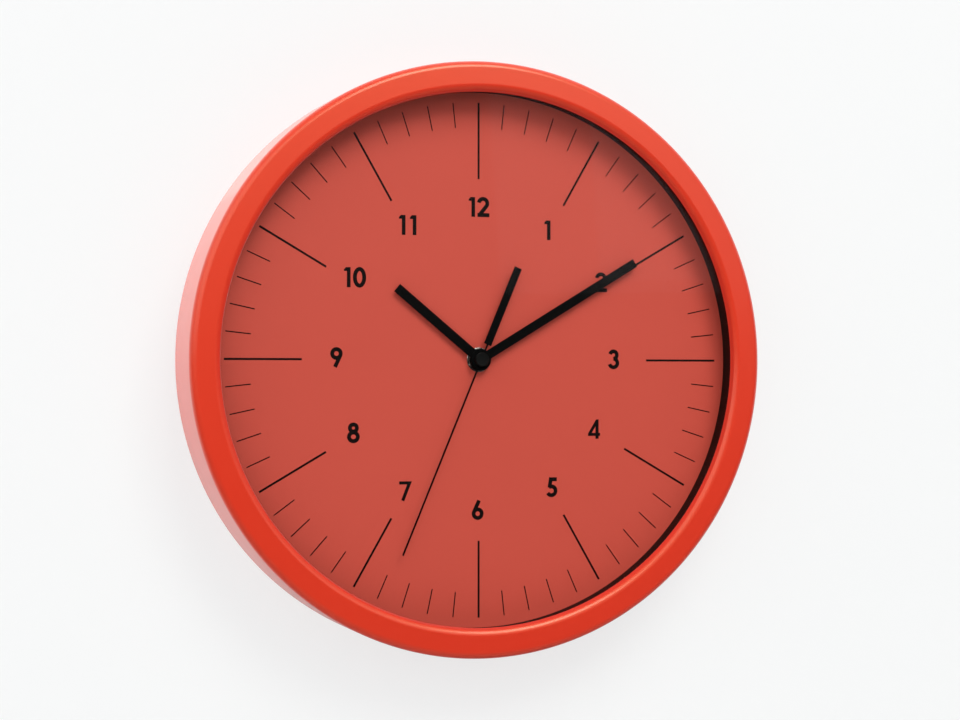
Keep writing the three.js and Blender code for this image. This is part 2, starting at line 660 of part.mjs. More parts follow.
function thirdPostTop() {
  return CENTRE_LAYER - PINION_EXTRA - POST_CLEARANCE;
}

function thirdPost() {
  return bearing(THIRD, FLOOR_Y - LAP, thirdPostTop());
}

// A blind hole for a pivot, open towards the back.
function pivotHole(place, mouthY) {
  const bottom = mouthY - PIVOT_ENGAGEMENT - PIVOT_END_GAP;
  return rod(place, bottom, mouthY + PAST, ARBOR_RADIUS + PIVOT_FIT);
}

function motionPost() {
  const top = MOTION_LAYER + WHEEL_THICKNESS + POST_CLEARANCE / 2;
  return rod(MOTION, FLOOR_Y - LAP, top, ARBOR_RADIUS);
}

function settingPostTop() {
  return MOTION_LAYER - PINION_EXTRA - POST_CLEARANCE;
}

function settingPost() {
  const radius = KNOB_SHAFT_RADIUS + PIVOT_FIT + SETTING_POST_WALL;
  return rod(SETTING, FLOOR_Y - LAP, settingPostTop(), radius);
}

function settingHole() {
  const radius = KNOB_SHAFT_RADIUS + PIVOT_FIT;
  return rod(SETTING, FLOOR_Y, settingPostTop() + PAST, radius);
}

function bridgeSupports() {
  return bridgePosts().flatMap((place) => [
    rod(place, FLOOR_Y - LAP, bridgeY() - SEAT_GAP, BRIDGE_POST_RADIUS),
    rod(place, FLOOR_Y, bridgeY() + BRIDGE_THICKNESS + BRIDGE_PIN_REACH, BRIDGE_PIN_RADIUS),
  ]);
}

function boardPosts() {
  const x = BOARD_RIGHT_X - BOARD_POST_RADIUS - BOARD_POST_INSET;
  return [BOARD_BOTTOM_Z + BOARD_POST_MARGIN, BOARD_TOP_Z - BOARD_POST_MARGIN].map((z) =>
    rod({ x, z }, FLOOR_Y - LAP, BOARD_Y - SEAT_GAP, BOARD_POST_RADIUS),
  );
}

function statorPosts() {
  const { left, right, top } = statorEdges();
  const places = [
    { x: left + STATOR_LEG / 2, z: top - STATOR_POST_DROPS[0] },
    { x: right - STATOR_LEG / 2, z: top - STATOR_POST_DROPS[1] },
  ];
  return places.map((place) =>
    rod(place, FLOOR_Y - LAP, STATOR_Y - SEAT_GAP, STATOR_POST_RADIUS),
  );
}

// Where the arbors of the train end at the back: just behind the wheel in front of each bearing.
function backBearingY(wheelBackY) {
  return wheelBackY + POST_CLEARANCE;
}

const BACK_BEARINGS = {
  seconds: backBearingY(INTERMEDIATE_LAYER + WHEEL_THICKNESS),
  third: backBearingY(SECONDS_LAYER + WHEEL_THICKNESS),
  intermediate: backBearingY(INTERMEDIATE_LAYER + WHEEL_THICKNESS),
  rotor: backBearingY(MAGNET_Y + MAGNET_LENGTH),
};

function movementRearCover() {
  const wide = MOVEMENT_HALF_WIDTH;
  const bottom = BAY_TOP_Z + SEAT_GAP;
  const lid = box(-wide, wide, LID_Y, MOVEMENT_BACK_Y, bottom, MOVEMENT_TOP);
  const lugs = [-1, 1].flatMap((side) => LUG_HEIGHTS.map((z) => snapLug(side, z)));
  const places = { seconds: CENTRE, third: THIRD, intermediate: INTERMEDIATE, rotor: ROTOR };
  const names = Object.keys(places);
  const bearings = names.map((name) =>
    bearing(places[name], BACK_BEARINGS[name], LID_Y + LAP),
  );
  const holes = names.map((name) => {
    const mouth = BACK_BEARINGS[name];
    const end = mouth + PIVOT_ENGAGEMENT + PIVOT_END_GAP;
    const bottomOfHole = Math.min(end, MOVEMENT_BACK_Y - BEARING_FLOOR);
    return rod(places[name], mouth - PAST, bottomOfHole, ARBOR_RADIUS + PIVOT_FIT);
  });
  const shaftRadius = KNOB_SHAFT_RADIUS + RUNNING_FIT;
  const knobHole = rod(SETTING, LID_Y - PAST, MOVEMENT_BACK_Y + PAST, shaftRadius);
  return without(union([lid, ...lugs, ...bearings]), [...holes, knobHole]);
}

function snapLug(side, z) {
  const near = side * (MOVEMENT_HALF_WIDTH - LUG_ROOT);
  const gapSide = side * (MOVEMENT_HALF_WIDTH + SEAT_GAP);
  const far = side * (MOVEMENT_HALF_WIDTH + SEAT_GAP + LUG_THICKNESS);
  const [low, high] = [z - LUG_WIDTH / 2, z + LUG_WIDTH / 2];
  const span = (a, b) => [Math.min(a, b), Math.max(a, b)];
  return union([
    box(...span(near, far), LID_Y, MOVEMENT_BACK_Y, low, high),
    box(...span(gapSide, far), LID_Y - LUG_LENGTH, MOVEMENT_BACK_Y, low, high),
  ]);
}

function gearBridge() {
  const hole = (place, radius) => ({ ...place, radius });
  return plate(bridgeOutline(), bridgeY(), bridgeY() + BRIDGE_THICKNESS, [
    hole(INTERMEDIATE, ARBOR_RADIUS + PIVOT_FIT),
    hole(ROTOR, ARBOR_RADIUS + PIVOT_FIT),
    ...bridgePosts().map((place) => hole(place, BRIDGE_PIN_RADIUS + PIVOT_FIT)),
  ]);
}

function rubberWasher() {
  const y0 = DIAL_BACK_Y + SEAT_GAP;
  return ring(BUSH_RADIUS + BUSH_FIT, RUBBER_RADIUS, y0, y0 + RUBBER_THICKNESS, ROUND_SEGMENTS);
}

function mountingWasher() {
  const y1 = WASHER_Y + WASHER_THICKNESS;
  return ring(BUSH_RADIUS + BUSH_FIT, WASHER_RADIUS, WASHER_Y, y1, ROUND_SEGMENTS);
}

function mountingNut() {
  const corner = NUT_ACROSS_FLATS / Math.sqrt(3);
  const blank = rod(CENTRE, NUT_Y, NUT_Y + NUT_THICKNESS, corner, 6);
  const past = NUT_Y + NUT_THICKNESS + PAST;
  const bore = BUSH_RADIUS + BUSH_FIT / 2;
  return blank.subtract(rod(CENTRE, NUT_Y - PAST, past, bore, ROUND_SEGMENTS));
}

// ---------------------------------------------------------------- motor and circuit

function statorEdges() {
  const half = MAGNET_RADIUS + STATOR_GAP + STATOR_MARGIN;
  const left = ROTOR.x - half - STATOR_LEG - STATOR_LEFT_ROOM;
  const right = left + 2 * STATOR_LEG + COIL_LENGTH + 2 * SEAT_GAP;
  return { half, left, right, top: COIL_Z + CORE_HEIGHT / 2 + STATOR_TOP_MARGIN };
}

function statorPlate() {
  const { half, left, right, top } = statorEdges();
  const innerLeft = left + STATOR_LEG;
  const innerRight = right - STATOR_LEG;
  const high = ROTOR.z + half;
  const outline = [
    [left, ROTOR.z - half],
    [ROTOR.x + half - STATOR_CUT_LOW, ROTOR.z - half],
    [ROTOR.x + half, ROTOR.z],
    [right, high + STATOR_SLOPE_LOW],
    [right, top],
    [innerRight, top],
    [innerRight, high + STATOR_SLOPE_HIGH],
    [ROTOR.x + half - STATOR_CUT_HIGH, high + STATOR_YOKE],
    [innerLeft, high + STATOR_YOKE],
    [innerLeft, top],
    [left, top],
  ];
  const hole = { ...ROTOR, radius: MAGNET_RADIUS + STATOR_GAP };
  return plate(outline, STATOR_Y, STATOR_Y + STATOR_THICKNESS, [hole]);
}

function coilStart() {
  return statorEdges().left + STATOR_LEG + SEAT_GAP;
}

function coilCore() {
  const x0 = coilStart();
  const [z0, z1] = [COIL_Z - CORE_HEIGHT / 2, COIL_Z + CORE_HEIGHT / 2];
  return box(x0, x0 + COIL_LENGTH, STATOR_Y, STATOR_Y + STATOR_THICKNESS, z0, z1);
}

// A profile of [radius, distance along the coil] turned about the coil's own axis.
function aroundCore(profile) {
  const body = geometryOf(turned(profile, ROUND_SEGMENTS));
  body.rotateZ(-Math.PI / 2);
  body.translate(coilStart(), STATOR_Y + STATOR_THICKNESS / 2, COIL_Z);
  return solid(body);
}

function coilBobbin() {
  const start = COIL_END_GAP;
  const end = COIL_LENGTH - COIL_END_GAP;
  return aroundCore([
    [COIL_BORE_RADIUS, start],
    [COIL_FLANGE_RADIUS, start],
    [COIL_FLANGE_RADIUS, start + COIL_FLANGE],
    [COIL_TUBE_RADIUS, start + COIL_FLANGE],
    [COIL_TUBE_RADIUS, end - COIL_FLANGE],
    [COIL_FLANGE_RADIUS, end - COIL_FLANGE],
    [COIL_FLANGE_RADIUS, end],
    [COIL_BORE_RADIUS, end],
  ]);
}

function coilWinding() {
  const start = COIL_END_GAP + COIL_FLANGE + SEAT_GAP;
  const end = COIL_LENGTH - start;
  const inner = COIL_TUBE_RADIUS + SEAT_GAP;
  return aroundCore([
    [inner, start],
    [COIL_WINDING_RADIUS, start],
    [COIL_WINDING_RADIUS, end],
    [inner, end],
  ]);
}

function circuitBoard() {
  return box(BOARD_LEFT_X, BOARD_RIGHT_X, BOARD_Y, BOARD_BACK_Y, BOARD_BOTTOM_Z, BOARD_TOP_Z);
}

function quartzCrystal() {
  const size = [CRYSTAL_RADIUS, CRYSTAL_RADIUS, CRYSTAL_LENGTH];
  const can = new THREE.CylinderGeometry(...size, FINE_SEGMENTS);
  can.rotateX(Math.PI / 2);
  const x = BOARD_LEFT_X + CRYSTAL_INSET.x;
  const y = BOARD_BACK_Y + SEAT_GAP + CRYSTAL_RADIUS;
  can.translate(x, y, BOARD_TOP_Z - CRYSTAL_INSET.z - CRYSTAL_LENGTH / 2);
  return solid(can);
}

function chipBlob() {
  const shoulder = CHIP_DOME.map(([wide, tall]) => [wide * CHIP_RADIUS, tall * CHIP_HEIGHT]);
  const dome = turned([[0, 0], [CHIP_RADIUS, 0], ...shoulder, [0, CHIP_HEIGHT]], FINE_SEGMENTS);
  const x = (BOARD_LEFT_X + BOARD_RIGHT_X) / 2 + CHIP_INSET.x;
  return dome.translate([x, BOARD_BACK_Y + SEAT_GAP, BOARD_BOTTOM_Z + CHIP_INSET.z]);
}

// ---------------------------------------------------------------- battery and contacts

function battery() {
  const radius = BATTERY_DIAMETER / 2;
  const narrow = radius - BATTERY_EDGE;
  const bodyLength = BATTERY_LENGTH - BATTERY_NUB_HEIGHT;
  const profile = [
    [0, 0],
    [narrow, 0],
    [radius, BATTERY_EDGE],
    [radius, bodyLength - BATTERY_EDGE],
    [narrow, bodyLength],
    [BATTERY_NUB_RADIUS, bodyLength],
    [BATTERY_NUB_RADIUS, BATTERY_LENGTH],
    [0, BATTERY_LENGTH],
  ];
  const cell = geometryOf(turned(profile, ROUND_SEGMENTS));
  cell.rotateZ(-Math.PI / 2);
  cell.translate(BATTERY_TOP_X - BATTERY_LENGTH, BATTERY_Y, BATTERY_Z);
  return solid(cell);
}

function contactSpan() {
  return [BATTERY_Y - CONTACT_HEIGHT / 2, BATTERY_Y + CONTACT_HEIGHT / 2];
}

function positiveContact() {
  const [y0, y1] = contactSpan();
  const x1 = POSITIVE_X + CONTACT_SHEET;
  const low = BATTERY_Z - CONTACT_HEIGHT / 2;
  const high = BOARD_BOTTOM_Z + CONTACT_LAP;
  const fingerX = BOARD_RIGHT_X - FINGER_REACH;
  const fingerY = BOARD_BACK_Y + SEAT_GAP;
  return union([
    box(POSITIVE_X, x1, y0, y1, low, high),
    box(fingerX, x1, fingerY, fingerY + CONTACT_SHEET, high - FINGER_WIDTH, high),
  ]);
}

// The cone of the negative contact's spring, pressed into the sheet behind it.
function contactSpring(sheetX) {
  const size = [SPRING_TIP_RADIUS, SPRING_RADIUS, SPRING_HEIGHT + CONTACT_SHEET / 2];
  const spring = new THREE.CylinderGeometry(...size, FINE_SEGMENTS);
  spring.rotateZ(-Math.PI / 2);
  spring.translate(sheetX + SPRING_HEIGHT / 2 - CONTACT_SHEET / 4 - SEAT_GAP, BATTERY_Y, BATTERY_Z);
  return solid(spring);
}

function negativeContact() {
  const [y0, y1] = contactSpan();
  const x1 = NEGATIVE_X + CONTACT_SHEET;
  const low = BATTERY_Z - CONTACT_HEIGHT / 2;
  const runZ = BAY_TOP_Z + MOVEMENT_WALL + RUN_LIFT;
  const runTop = runZ + CONTACT_SHEET;
  const runY = BOARD_BACK_Y + SEAT_GAP;
  const runBack = runY + RUN_WIDTH;
  const riserX = BOARD_RIGHT_X - RISER_INSET;
  return union([
    box(NEGATIVE_X, x1, y0, y1, low, runTop),
    contactSpring(x1),
    box(NEGATIVE_X, riserX, runY, runBack, runZ, runTop),
    box(riserX - CONTACT_SHEET, riserX, runY, runBack, runZ, BOARD_BOTTOM_Z + RISER_LAP),
  ]);
}

// ---------------------------------------------------------------- gear train

const PHASES = { secondsWheel: 0, centreWheel: 0, cannon: 0 };
PHASES.intermediatePinion = meshedPhase(
  PHASES.secondsWheel,
  SECONDS_WHEEL,
  TRAIN_DIRECTIONS.intermediate,
  INTERMEDIATE_PINION,
);
PHASES.intermediateWheel = 0;
PHASES.rotorPinion = meshedPhase(
  PHASES.intermediateWheel,
  INTERMEDIATE_WHEEL,
  TRAIN_DIRECTIONS.rotor,
  ROTOR_PINION,
);
PHASES.secondsPinion = 0;
PHASES.thirdWheel = meshedPhase(
  PHASES.secondsPinion,
  SECONDS_PINION,
  TRAIN_DIRECTIONS.third,
  THIRD_WHEEL,
);
PHASES.thirdPinion = meshedPhase(
  PHASES.centreWheel,
  CENTRE_WHEEL,
  TRAIN_DIRECTIONS.third,
  THIRD_PINION,
);
PHASES.motionWheel = meshedPhase(PHASES.cannon, CANNON_PINION, TRAIN_DIRECTIONS.motion, MOTION_WHEEL);
PHASES.motionPinion = 0;
PHASES.hourWheel = meshedPhase(
  PHASES.motionPinion,
  MOTION_PINION,
  TRAIN_DIRECTIONS.motion + HALF_TURN,
  HOUR_WHEEL,
);
PHASES.settingPinion = meshedPhase(
  PHASES.motionWheel,
  MOTION_WHEEL,
  TRAIN_DIRECTIONS.setting,
  SETTING_PINION,
);

function wheel(teeth, module, layer, phase) {
  return toothed(teeth, module, layer, layer + WHEEL_THICKNESS, phase);
}

function pinion(teeth, module, layer, phase, reach = WHEEL_THICKNESS) {
  return toothed(teeth, module, layer, layer + reach, phase, PINION_EXTRA);
}

const JOIN = WHEEL_THICKNESS + LAYER_GAP; // a pinion that runs on into its own wheel

function rotorMagnet() {
  const hole = ARBOR_RADIUS + SEAT_GAP;
  return ring(hole, MAGNET_RADIUS, MAGNET_Y, MAGNET_Y + MAGNET_LENGTH, FINE_SEGMENTS);
}

function rotorPinion() {
  const deepest = MOVEMENT_BACK_Y - BEARING_FLOOR - PIVOT_END_GAP;
  const end = Math.min(BACK_BEARINGS.rotor + PIVOT_ENGAGEMENT, deepest);
  return union([
    pinion(ROTOR_PINION, MOTOR_MODULE, INTERMEDIATE_LAYER, PHASES.rotorPinion),
    rod(CENTRE, bridgeY() + SEAT_GAP, end, ARBOR_RADIUS),
  ]);
}

function intermediateWheel() {
  const end = BACK_BEARINGS.intermediate + PIVOT_ENGAGEMENT;
  return union([
    wheel(INTERMEDIATE_WHEEL, MOTOR_MODULE, INTERMEDIATE_LAYER, PHASES.intermediateWheel),
    pinion(INTERMEDIATE_PINION, SECONDS_MODULE, SECONDS_LAYER, PHASES.intermediatePinion, JOIN),
    rod(CENTRE, bridgeY() + SEAT_GAP, end, ARBOR_RADIUS),
  ]);
}

function secondsWheel() {
  const front = SECOND_HAND_Y - SEAT_GAP / 2;
  const end = BACK_BEARINGS.seconds + PIVOT_ENGAGEMENT;
  return union([
    wheel(SECONDS_WHEEL, SECONDS_MODULE, SECONDS_LAYER, PHASES.secondsWheel),
    pinion(SECONDS_PINION, THIRD_MODULE, THIRD_LAYER, PHASES.secondsPinion, JOIN),
    rod(CENTRE, front, end, ARBOR_RADIUS),
  ]);
}

function thirdWheel() {
  const front = thirdPostTop() - PIVOT_ENGAGEMENT;
  const end = BACK_BEARINGS.third + PIVOT_ENGAGEMENT;
  return union([
    wheel(THIRD_WHEEL, THIRD_MODULE, THIRD_LAYER, PHASES.thirdWheel),
    pinion(THIRD_PINION, MINUTE_MODULE, CENTRE_LAYER, PHASES.thirdPinion, JOIN),
    rod(CENTRE, front, end, ARBOR_RADIUS),
  ]);
}

function centreWheel() {
  const front = MINUTE_HUB_Y + SEAT_GAP;
  const back = CENTRE_LAYER + WHEEL_THICKNESS;
  const body = union([
    wheel(CENTRE_WHEEL, MINUTE_MODULE, CENTRE_LAYER, PHASES.centreWheel),
    pinion(CANNON_PINION, MOTION_MODULE, MOTION_LAYER, PHASES.cannon, JOIN),
    rod(CENTRE, front, back, MINUTE_TUBE_RADIUS),
  ]);
  const bore = ARBOR_RADIUS + RUNNING_FIT;
  return body.subtract(rod(CENTRE, front - PAST, back + PAST, bore));
}

function motionWheel() {
  const [y0, y1] = [HOUR_LAYER - PINION_EXTRA, MOTION_LAYER + PINION_EXTRA];
  const body = union([
    wheel(MOTION_WHEEL, MOTION_MODULE, MOTION_LAYER, PHASES.motionWheel),
    toothed(MOTION_PINION, HOUR_MODULE, y0, y1, PHASES.motionPinion),
  ]);
  return body.subtract(rod(CENTRE, FLOOR_Y, CENTRE_LAYER, ARBOR_RADIUS + PIVOT_FIT));
}

function hourWheel() {
  const front = HOUR_HUB_Y + SEAT_GAP;
  const back = HOUR_LAYER + WHEEL_THICKNESS;
  const body = union([
    wheel(HOUR_WHEEL, HOUR_MODULE, HOUR_LAYER, PHASES.hourWheel),
    rod(CENTRE, front, back, HOUR_TUBE_RADIUS, ROUND_SEGMENTS),
  ]);
  const bore = MINUTE_TUBE_RADIUS + RUNNING_FIT;
  return body.subtract(rod(CENTRE, front - PAST, back + PAST, bore, ROUND_SEGMENTS));
}

function settingKnob() {
  const front = FLOOR_Y + PIVOT_END_GAP;
  const discFront = MOVEMENT_BACK_Y + KNOB_GAP;
  const discBack = discFront + KNOB_THICKNESS;
  const past = discBack + PAST;
  const flutes = Array.from({ length: KNOB_FLUTES }, (_, i) => {
    const place = clockwise((i * 360) / KNOB_FLUTES, KNOB_RADIUS);
    return rod(place, discFront - PAST, past, KNOB_FLUTE_RADIUS, FLUTE_SEGMENTS);
  });
  const half = KNOB_SLOT / 2;
  const slot = box(-KNOB_RADIUS, KNOB_RADIUS, discBack - KNOB_SLOT_DEPTH, past, -half, half);
  const body = union([
    pinion(SETTING_PINION, MOTION_MODULE, MOTION_LAYER, PHASES.settingPinion),
    rod(CENTRE, front, discFront + LAP, KNOB_SHAFT_RADIUS),
    rod(CENTRE, discFront, discBack, KNOB_RADIUS, ROUND_SEGMENTS),
  ]);
  return without(body, [...flutes, slot]);
}

// ---------------------------------------------------------------- hands

// A straight hand pressed on a tube: a hub with a blade that points at 12.
function tubeHand(length, width, hubRadius, hubY, tubeRadius) {
  const back = hubY + HUB_HEIGHT;
  const blade = box(-width / 2, width / 2, back - HAND_SHEET, back, 0, length);
  const hub = rod(CENTRE, hubY, back, hubRadius, ROUND_SEGMENTS);
  const bore = tubeRadius + HUB_FIT;
  return union([hub, blade]).subtract(
    rod(CENTRE, hubY - PAST, back + PAST, bore, ROUND_SEGMENTS),
  );
}

function hourHand() {
  return tubeHand(
    HOUR_HAND_LENGTH,
    HOUR_HAND_WIDTH,
    HOUR_HUB_RADIUS,
    HOUR_HUB_Y,
    HOUR_TUBE_RADIUS,
  );
}

function minuteHand() {
  return tubeHand(
    MINUTE_HAND_LENGTH,
    MINUTE_HAND_WIDTH,
    MINUTE_HUB_RADIUS,
    MINUTE_HUB_Y,
    MINUTE_TUBE_RADIUS,
  );
}

function secondHand() {
  const needle = SECOND_HAND_WIDTH / 2;
  const weight = COUNTERWEIGHT_WIDTH / 2;
  const outline = [
    [-needle, -COUNTERWEIGHT_START],
    [-weight, -COUNTERWEIGHT_START],
    [-weight, -COUNTERWEIGHT_END],
    [weight, -COUNTERWEIGHT_END],
    [weight, -COUNTERWEIGHT_START],
    [needle, -COUNTERWEIGHT_START],
    [needle, SECOND_HAND_LENGTH],
    [-needle, SECOND_HAND_LENGTH],
  ];
  const back = SECOND_HAND_Y + HAND_SHEET;
  const hub = rod(CENTRE, SECOND_HAND_Y, back, SECOND_HUB_RADIUS, ROUND_SEGMENTS);
  const body = plate(outline, SECOND_HAND_Y, back).add(hub);
  const bore = ARBOR_RADIUS + HUB_FIT;
  return body.subtract(rod(CENTRE, SECOND_HAND_Y - PAST, back + PAST, bore));
}

function secondHandCap() {
  const back = CAP_Y + CAP_HEIGHT;
  const profile = [
    [0, back],
    [CAP_RADIUS, back],
    [CAP_RADIUS, CAP_Y + CAP_EDGE],
    [CAP_RADIUS - CAP_EDGE, CAP_Y],
    [0, CAP_Y],
  ];
  return turned(profile, ROUND_SEGMENTS);
}

// ---------------------------------------------------------------- assembly

const finish = (color, roughness, metalness = 0) => ({ color, roughness, metalness });
const FINISHES = {
  case: finish(0xe04a30, 0.45),
  glass: { ...finish(0xf4f8f8, 0.05), transparent: true, opacity: 0.18 },
  black: finish(0x161312, 0.5),
  dial: finish(0xc84e41, 0.85),
  cover: finish(0x2b2b2d, 0.6),
  screw: finish(0xb9bbbe, 0.35, 1),
  housing: finish(0x1f2022, 0.55),
  rubber: finish(0x141414, 0.9),
  nickel: finish(0xc9c6bd, 0.3, 1),
  steel: finish(0x8d9196, 0.4, 1),
  brass: finish(0xb8964e, 0.35, 1),
  copper: finish(0xb4693a, 0.4, 1),
  board: finish(0x2f6b3c, 0.5),
  resin: finish(0x0e0e10, 0.4),
  wheel: finish(0xe9e4d6, 0.5),
  tintedWheel: finish(0x7fa6b8, 0.5),
  magnet: finish(0x45454a, 0.5, 0.6),
  cell: finish(0x6d7479, 0.35, 0.5),
  hand: finish(0x0c0b0b, 0.4),
};

function mesh(name, body, finishName, place = CENTRE, turnDegrees = 0) {
  const material = new THREE.MeshStandardMaterial(FINISHES[finishName]);
  const node = new THREE.Mesh(geometryOf(body), material);
  node.name = name;
  node.position.set(place.x, 0, place.z);
  node.rotation.y = toRadians(turnDegrees);
  return node;
}

function caseGroup() {
  const group = new THREE.Group();
  group.add(
    mesh("case_ring", caseRing(), "case"),
    mesh("glass_lens", glassLens(), "glass"),
    mesh("spacer_ring", spacerRing(), "black"),
    mesh("dial_plate", dialPlate(), "dial"),
    mesh("back_cover", backCover(), "cover"),
  );
  screwPlaces().forEach((place, i) => {
    group.add(mesh(`back_cover_screw_${i + 1}`, coverScrew(place), "screw"));
  });
  return group;
}

function movementGroup() {
  const group = new THREE.Group();
  group.add(
    mesh("movement_housing", movementHousing(), "housing"),
    mesh("movement_rear_cover", movementRearCover(), "housing"),
    mesh("gear_bridge", gearBridge(), "housing"),
    mesh("rubber_washer", rubberWasher(), "rubber"),
    mesh("mounting_washer", mountingWasher(), "nickel"),
    mesh("mounting_nut", mountingNut(), "nickel"),
    mesh("stator_plate", statorPlate(), "steel"),
    mesh("coil_core", coilCore(), "steel"),
    mesh("coil_bobbin", coilBobbin(), "wheel"),
    mesh("coil_winding", coilWinding(), "copper"),
    mesh("circuit_board", circuitBoard(), "board"),
    mesh("quartz_crystal", quartzCrystal(), "nickel"),
    mesh("chip_blob", chipBlob(), "resin"),
    mesh("battery_contact_positive", positiveContact(), "brass"),
    mesh("battery_contact_negative", negativeContact(), "brass"),
    mesh("battery", battery(), "cell"),
  );
  return group;
}

function trainGroup() {
  const group = new THREE.Group();
  group.add(
    mesh("rotor_magnet", rotorMagnet(), "magnet", ROTOR),
    mesh("rotor_pinion", rotorPinion(), "wheel", ROTOR),
    mesh("intermediate_wheel", intermediateWheel(), "wheel", INTERMEDIATE),
    mesh("seconds_wheel", secondsWheel(), "tintedWheel"),
    mesh("third_wheel", thirdWheel(), "wheel", THIRD),
    mesh("centre_wheel", centreWheel(), "wheel"),
    mesh("motion_wheel", motionWheel(), "tintedWheel", MOTION),
    mesh("hour_wheel", hourWheel(), "wheel"),
    mesh("setting_knob", settingKnob(), "wheel", SETTING),
  );
  return group;
}

function handGroup() {
  const group = new THREE.Group();
  group.add(
    mesh("hour_hand", hourHand(), "hand", CENTRE, HANDS_AT_REST.hour),
    mesh("minute_hand", minuteHand(), "hand", CENTRE, HANDS_AT_REST.minute),
    mesh("second_hand", secondHand(), "hand", CENTRE, HANDS_AT_REST.second),
    mesh("second_hand_cap", secondHandCap(), "hand"),
  );
  return group;
}

const clock = new THREE.Group();
clock.name = "wall_clock";
clock.position.z = -HANGER_HEIGHT;
clock.add(caseGroup(), movementGroup(), trainGroup(), handGroup());

export default clock;
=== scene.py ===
import json
import math

import bpy
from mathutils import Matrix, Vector


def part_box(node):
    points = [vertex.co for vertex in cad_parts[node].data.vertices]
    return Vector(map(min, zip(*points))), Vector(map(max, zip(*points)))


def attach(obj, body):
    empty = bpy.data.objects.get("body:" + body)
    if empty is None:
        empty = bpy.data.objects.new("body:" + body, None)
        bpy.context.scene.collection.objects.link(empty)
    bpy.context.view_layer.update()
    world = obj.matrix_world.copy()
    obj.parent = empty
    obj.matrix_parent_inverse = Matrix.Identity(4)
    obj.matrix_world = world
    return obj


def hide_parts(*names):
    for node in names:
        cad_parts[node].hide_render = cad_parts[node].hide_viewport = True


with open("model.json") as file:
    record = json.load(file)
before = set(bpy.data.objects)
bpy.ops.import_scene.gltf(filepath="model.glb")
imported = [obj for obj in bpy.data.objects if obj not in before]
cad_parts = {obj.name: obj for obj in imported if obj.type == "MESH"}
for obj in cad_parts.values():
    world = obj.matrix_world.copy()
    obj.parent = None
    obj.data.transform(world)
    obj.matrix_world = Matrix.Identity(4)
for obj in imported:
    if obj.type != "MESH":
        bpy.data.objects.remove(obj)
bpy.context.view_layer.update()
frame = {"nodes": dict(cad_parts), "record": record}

MM = 0.001
TURN = 2 * math.pi

# ---------------------------------------------------------------- places taken from the frame

case_low, case_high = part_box("case_ring")
glass_low, glass_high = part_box("glass_lens")
spacer_low, spacer_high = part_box("spacer_ring")
dial_low, dial_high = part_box("dial_plate")
cover_low, cover_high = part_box("back_cover")
housing_low, housing_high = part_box("movement_housing")
_, lid_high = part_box("movement_rear_cover")
cell_low, cell_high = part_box("battery")
knob_low, knob_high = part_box("setting_knob")
spring_low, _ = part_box("battery_contact_negative")

CELL_AXIS = (cell_low + cell_high) / 2
CASE_RADIUS = case_high.x
FRONT_Y = case_low.y
GLASS_RADIUS = glass_high.x
DIAL_Y = dial_low.y
AXIS = Vector((0, 0, (glass_low.z + glass_high.z) / 2))

# ---------------------------------------------------------------- driving dimensions

# Case ring
CASE_WALL = 3 * MM
BEZEL_WIDTH = 15.4 * MM
LIP_FLARE = 0.6 * MM
OUTER_ROUND = 4 * MM
INNER_ROUND = 4 * MM
FACE_ANGLE = math.radians(-86)  # the way the front face looks, a little outwards
LIP_ANGLE = math.radians(-144)  # where the inner round ends
EDGE_ROUND = 0.5 * MM
LIP_ROUND = 0.35 * MM
RIB_FIT = 0.5 * MM
RIB_WALL = 1.7 * MM
RIB_OVERLAP = 0.8 * MM
BOSS_RADIUS = 3.2 * MM
BOSS_BORE = 1.7 * MM
BOSS_FLOOR = 1.5 * MM
BOSS_DEPTH = 11 * MM

# Glass, spacer and dial
SPACER_WALL = 3.1 * MM
SEAT = 0.1 * MM
PANE_EDGE = 0.35 * MM
DIAL_HOLE = 4.3 * MM
FINE_EDGE = 0.15 * MM

# Dial print
INK = 0.05 * MM
HOUR_TICK = (91.8 * MM, 130.7 * MM, 1.05 * MM)  # inner radius, outer radius, width
MINUTE_TICK = (118 * MM, 130.7 * MM, 0.55 * MM)
NUMERAL_HEIGHT = 10 * MM
NUMERAL_STROKE = 2 * MM
NUMERAL_GAP = 1.1 * MM
NUMERAL_PLACES = {
    1: (37.2, 66.7), 2: (66.8, 40.3), 3: (73.8, 0.5), 4: (62.8, -35.6), 5: (39.4, -65.2),
    6: (-0.5, -76.1), 7: (-38.5, -66.1), 8: (-65.5, -36.6), 9: (-74.2, 0.9), 10: (-64.7, 40.9),
    11: (-37.4, 67.6), 12: (0.3, 77.6),
}

# Hands
HOUR_HAND = {"width": 4.8 * MM, "hub": 5.6 * MM, "bore": 2.6 * MM}
MINUTE_HAND = {"width": 4.6 * MM, "hub": 5.3 * MM, "bore": 1.6 * MM}
HAND_SHEET = 0.4 * MM
HAND_EDGE = 0.08 * MM
NEEDLE_WIDTH = 0.9 * MM
COUNTERWEIGHT = (8.3 * MM, 50.8 * MM, 4 * MM)  # start, end, width
NEEDLE_HUB = 2.6 * MM
NEEDLE_BORE = 0.47 * MM
CAP_EDGE = 0.3 * MM
CAP_DISH = 0.12 * MM

# Hand post
POST_HOLE = 4.15 * MM
NUT_ACROSS_FLATS = 10 * MM
NUT_CHAMFER = 0.35 * MM
NUT_EDGE = 0.08 * MM
WASHER_EDGE = 0.22 * MM

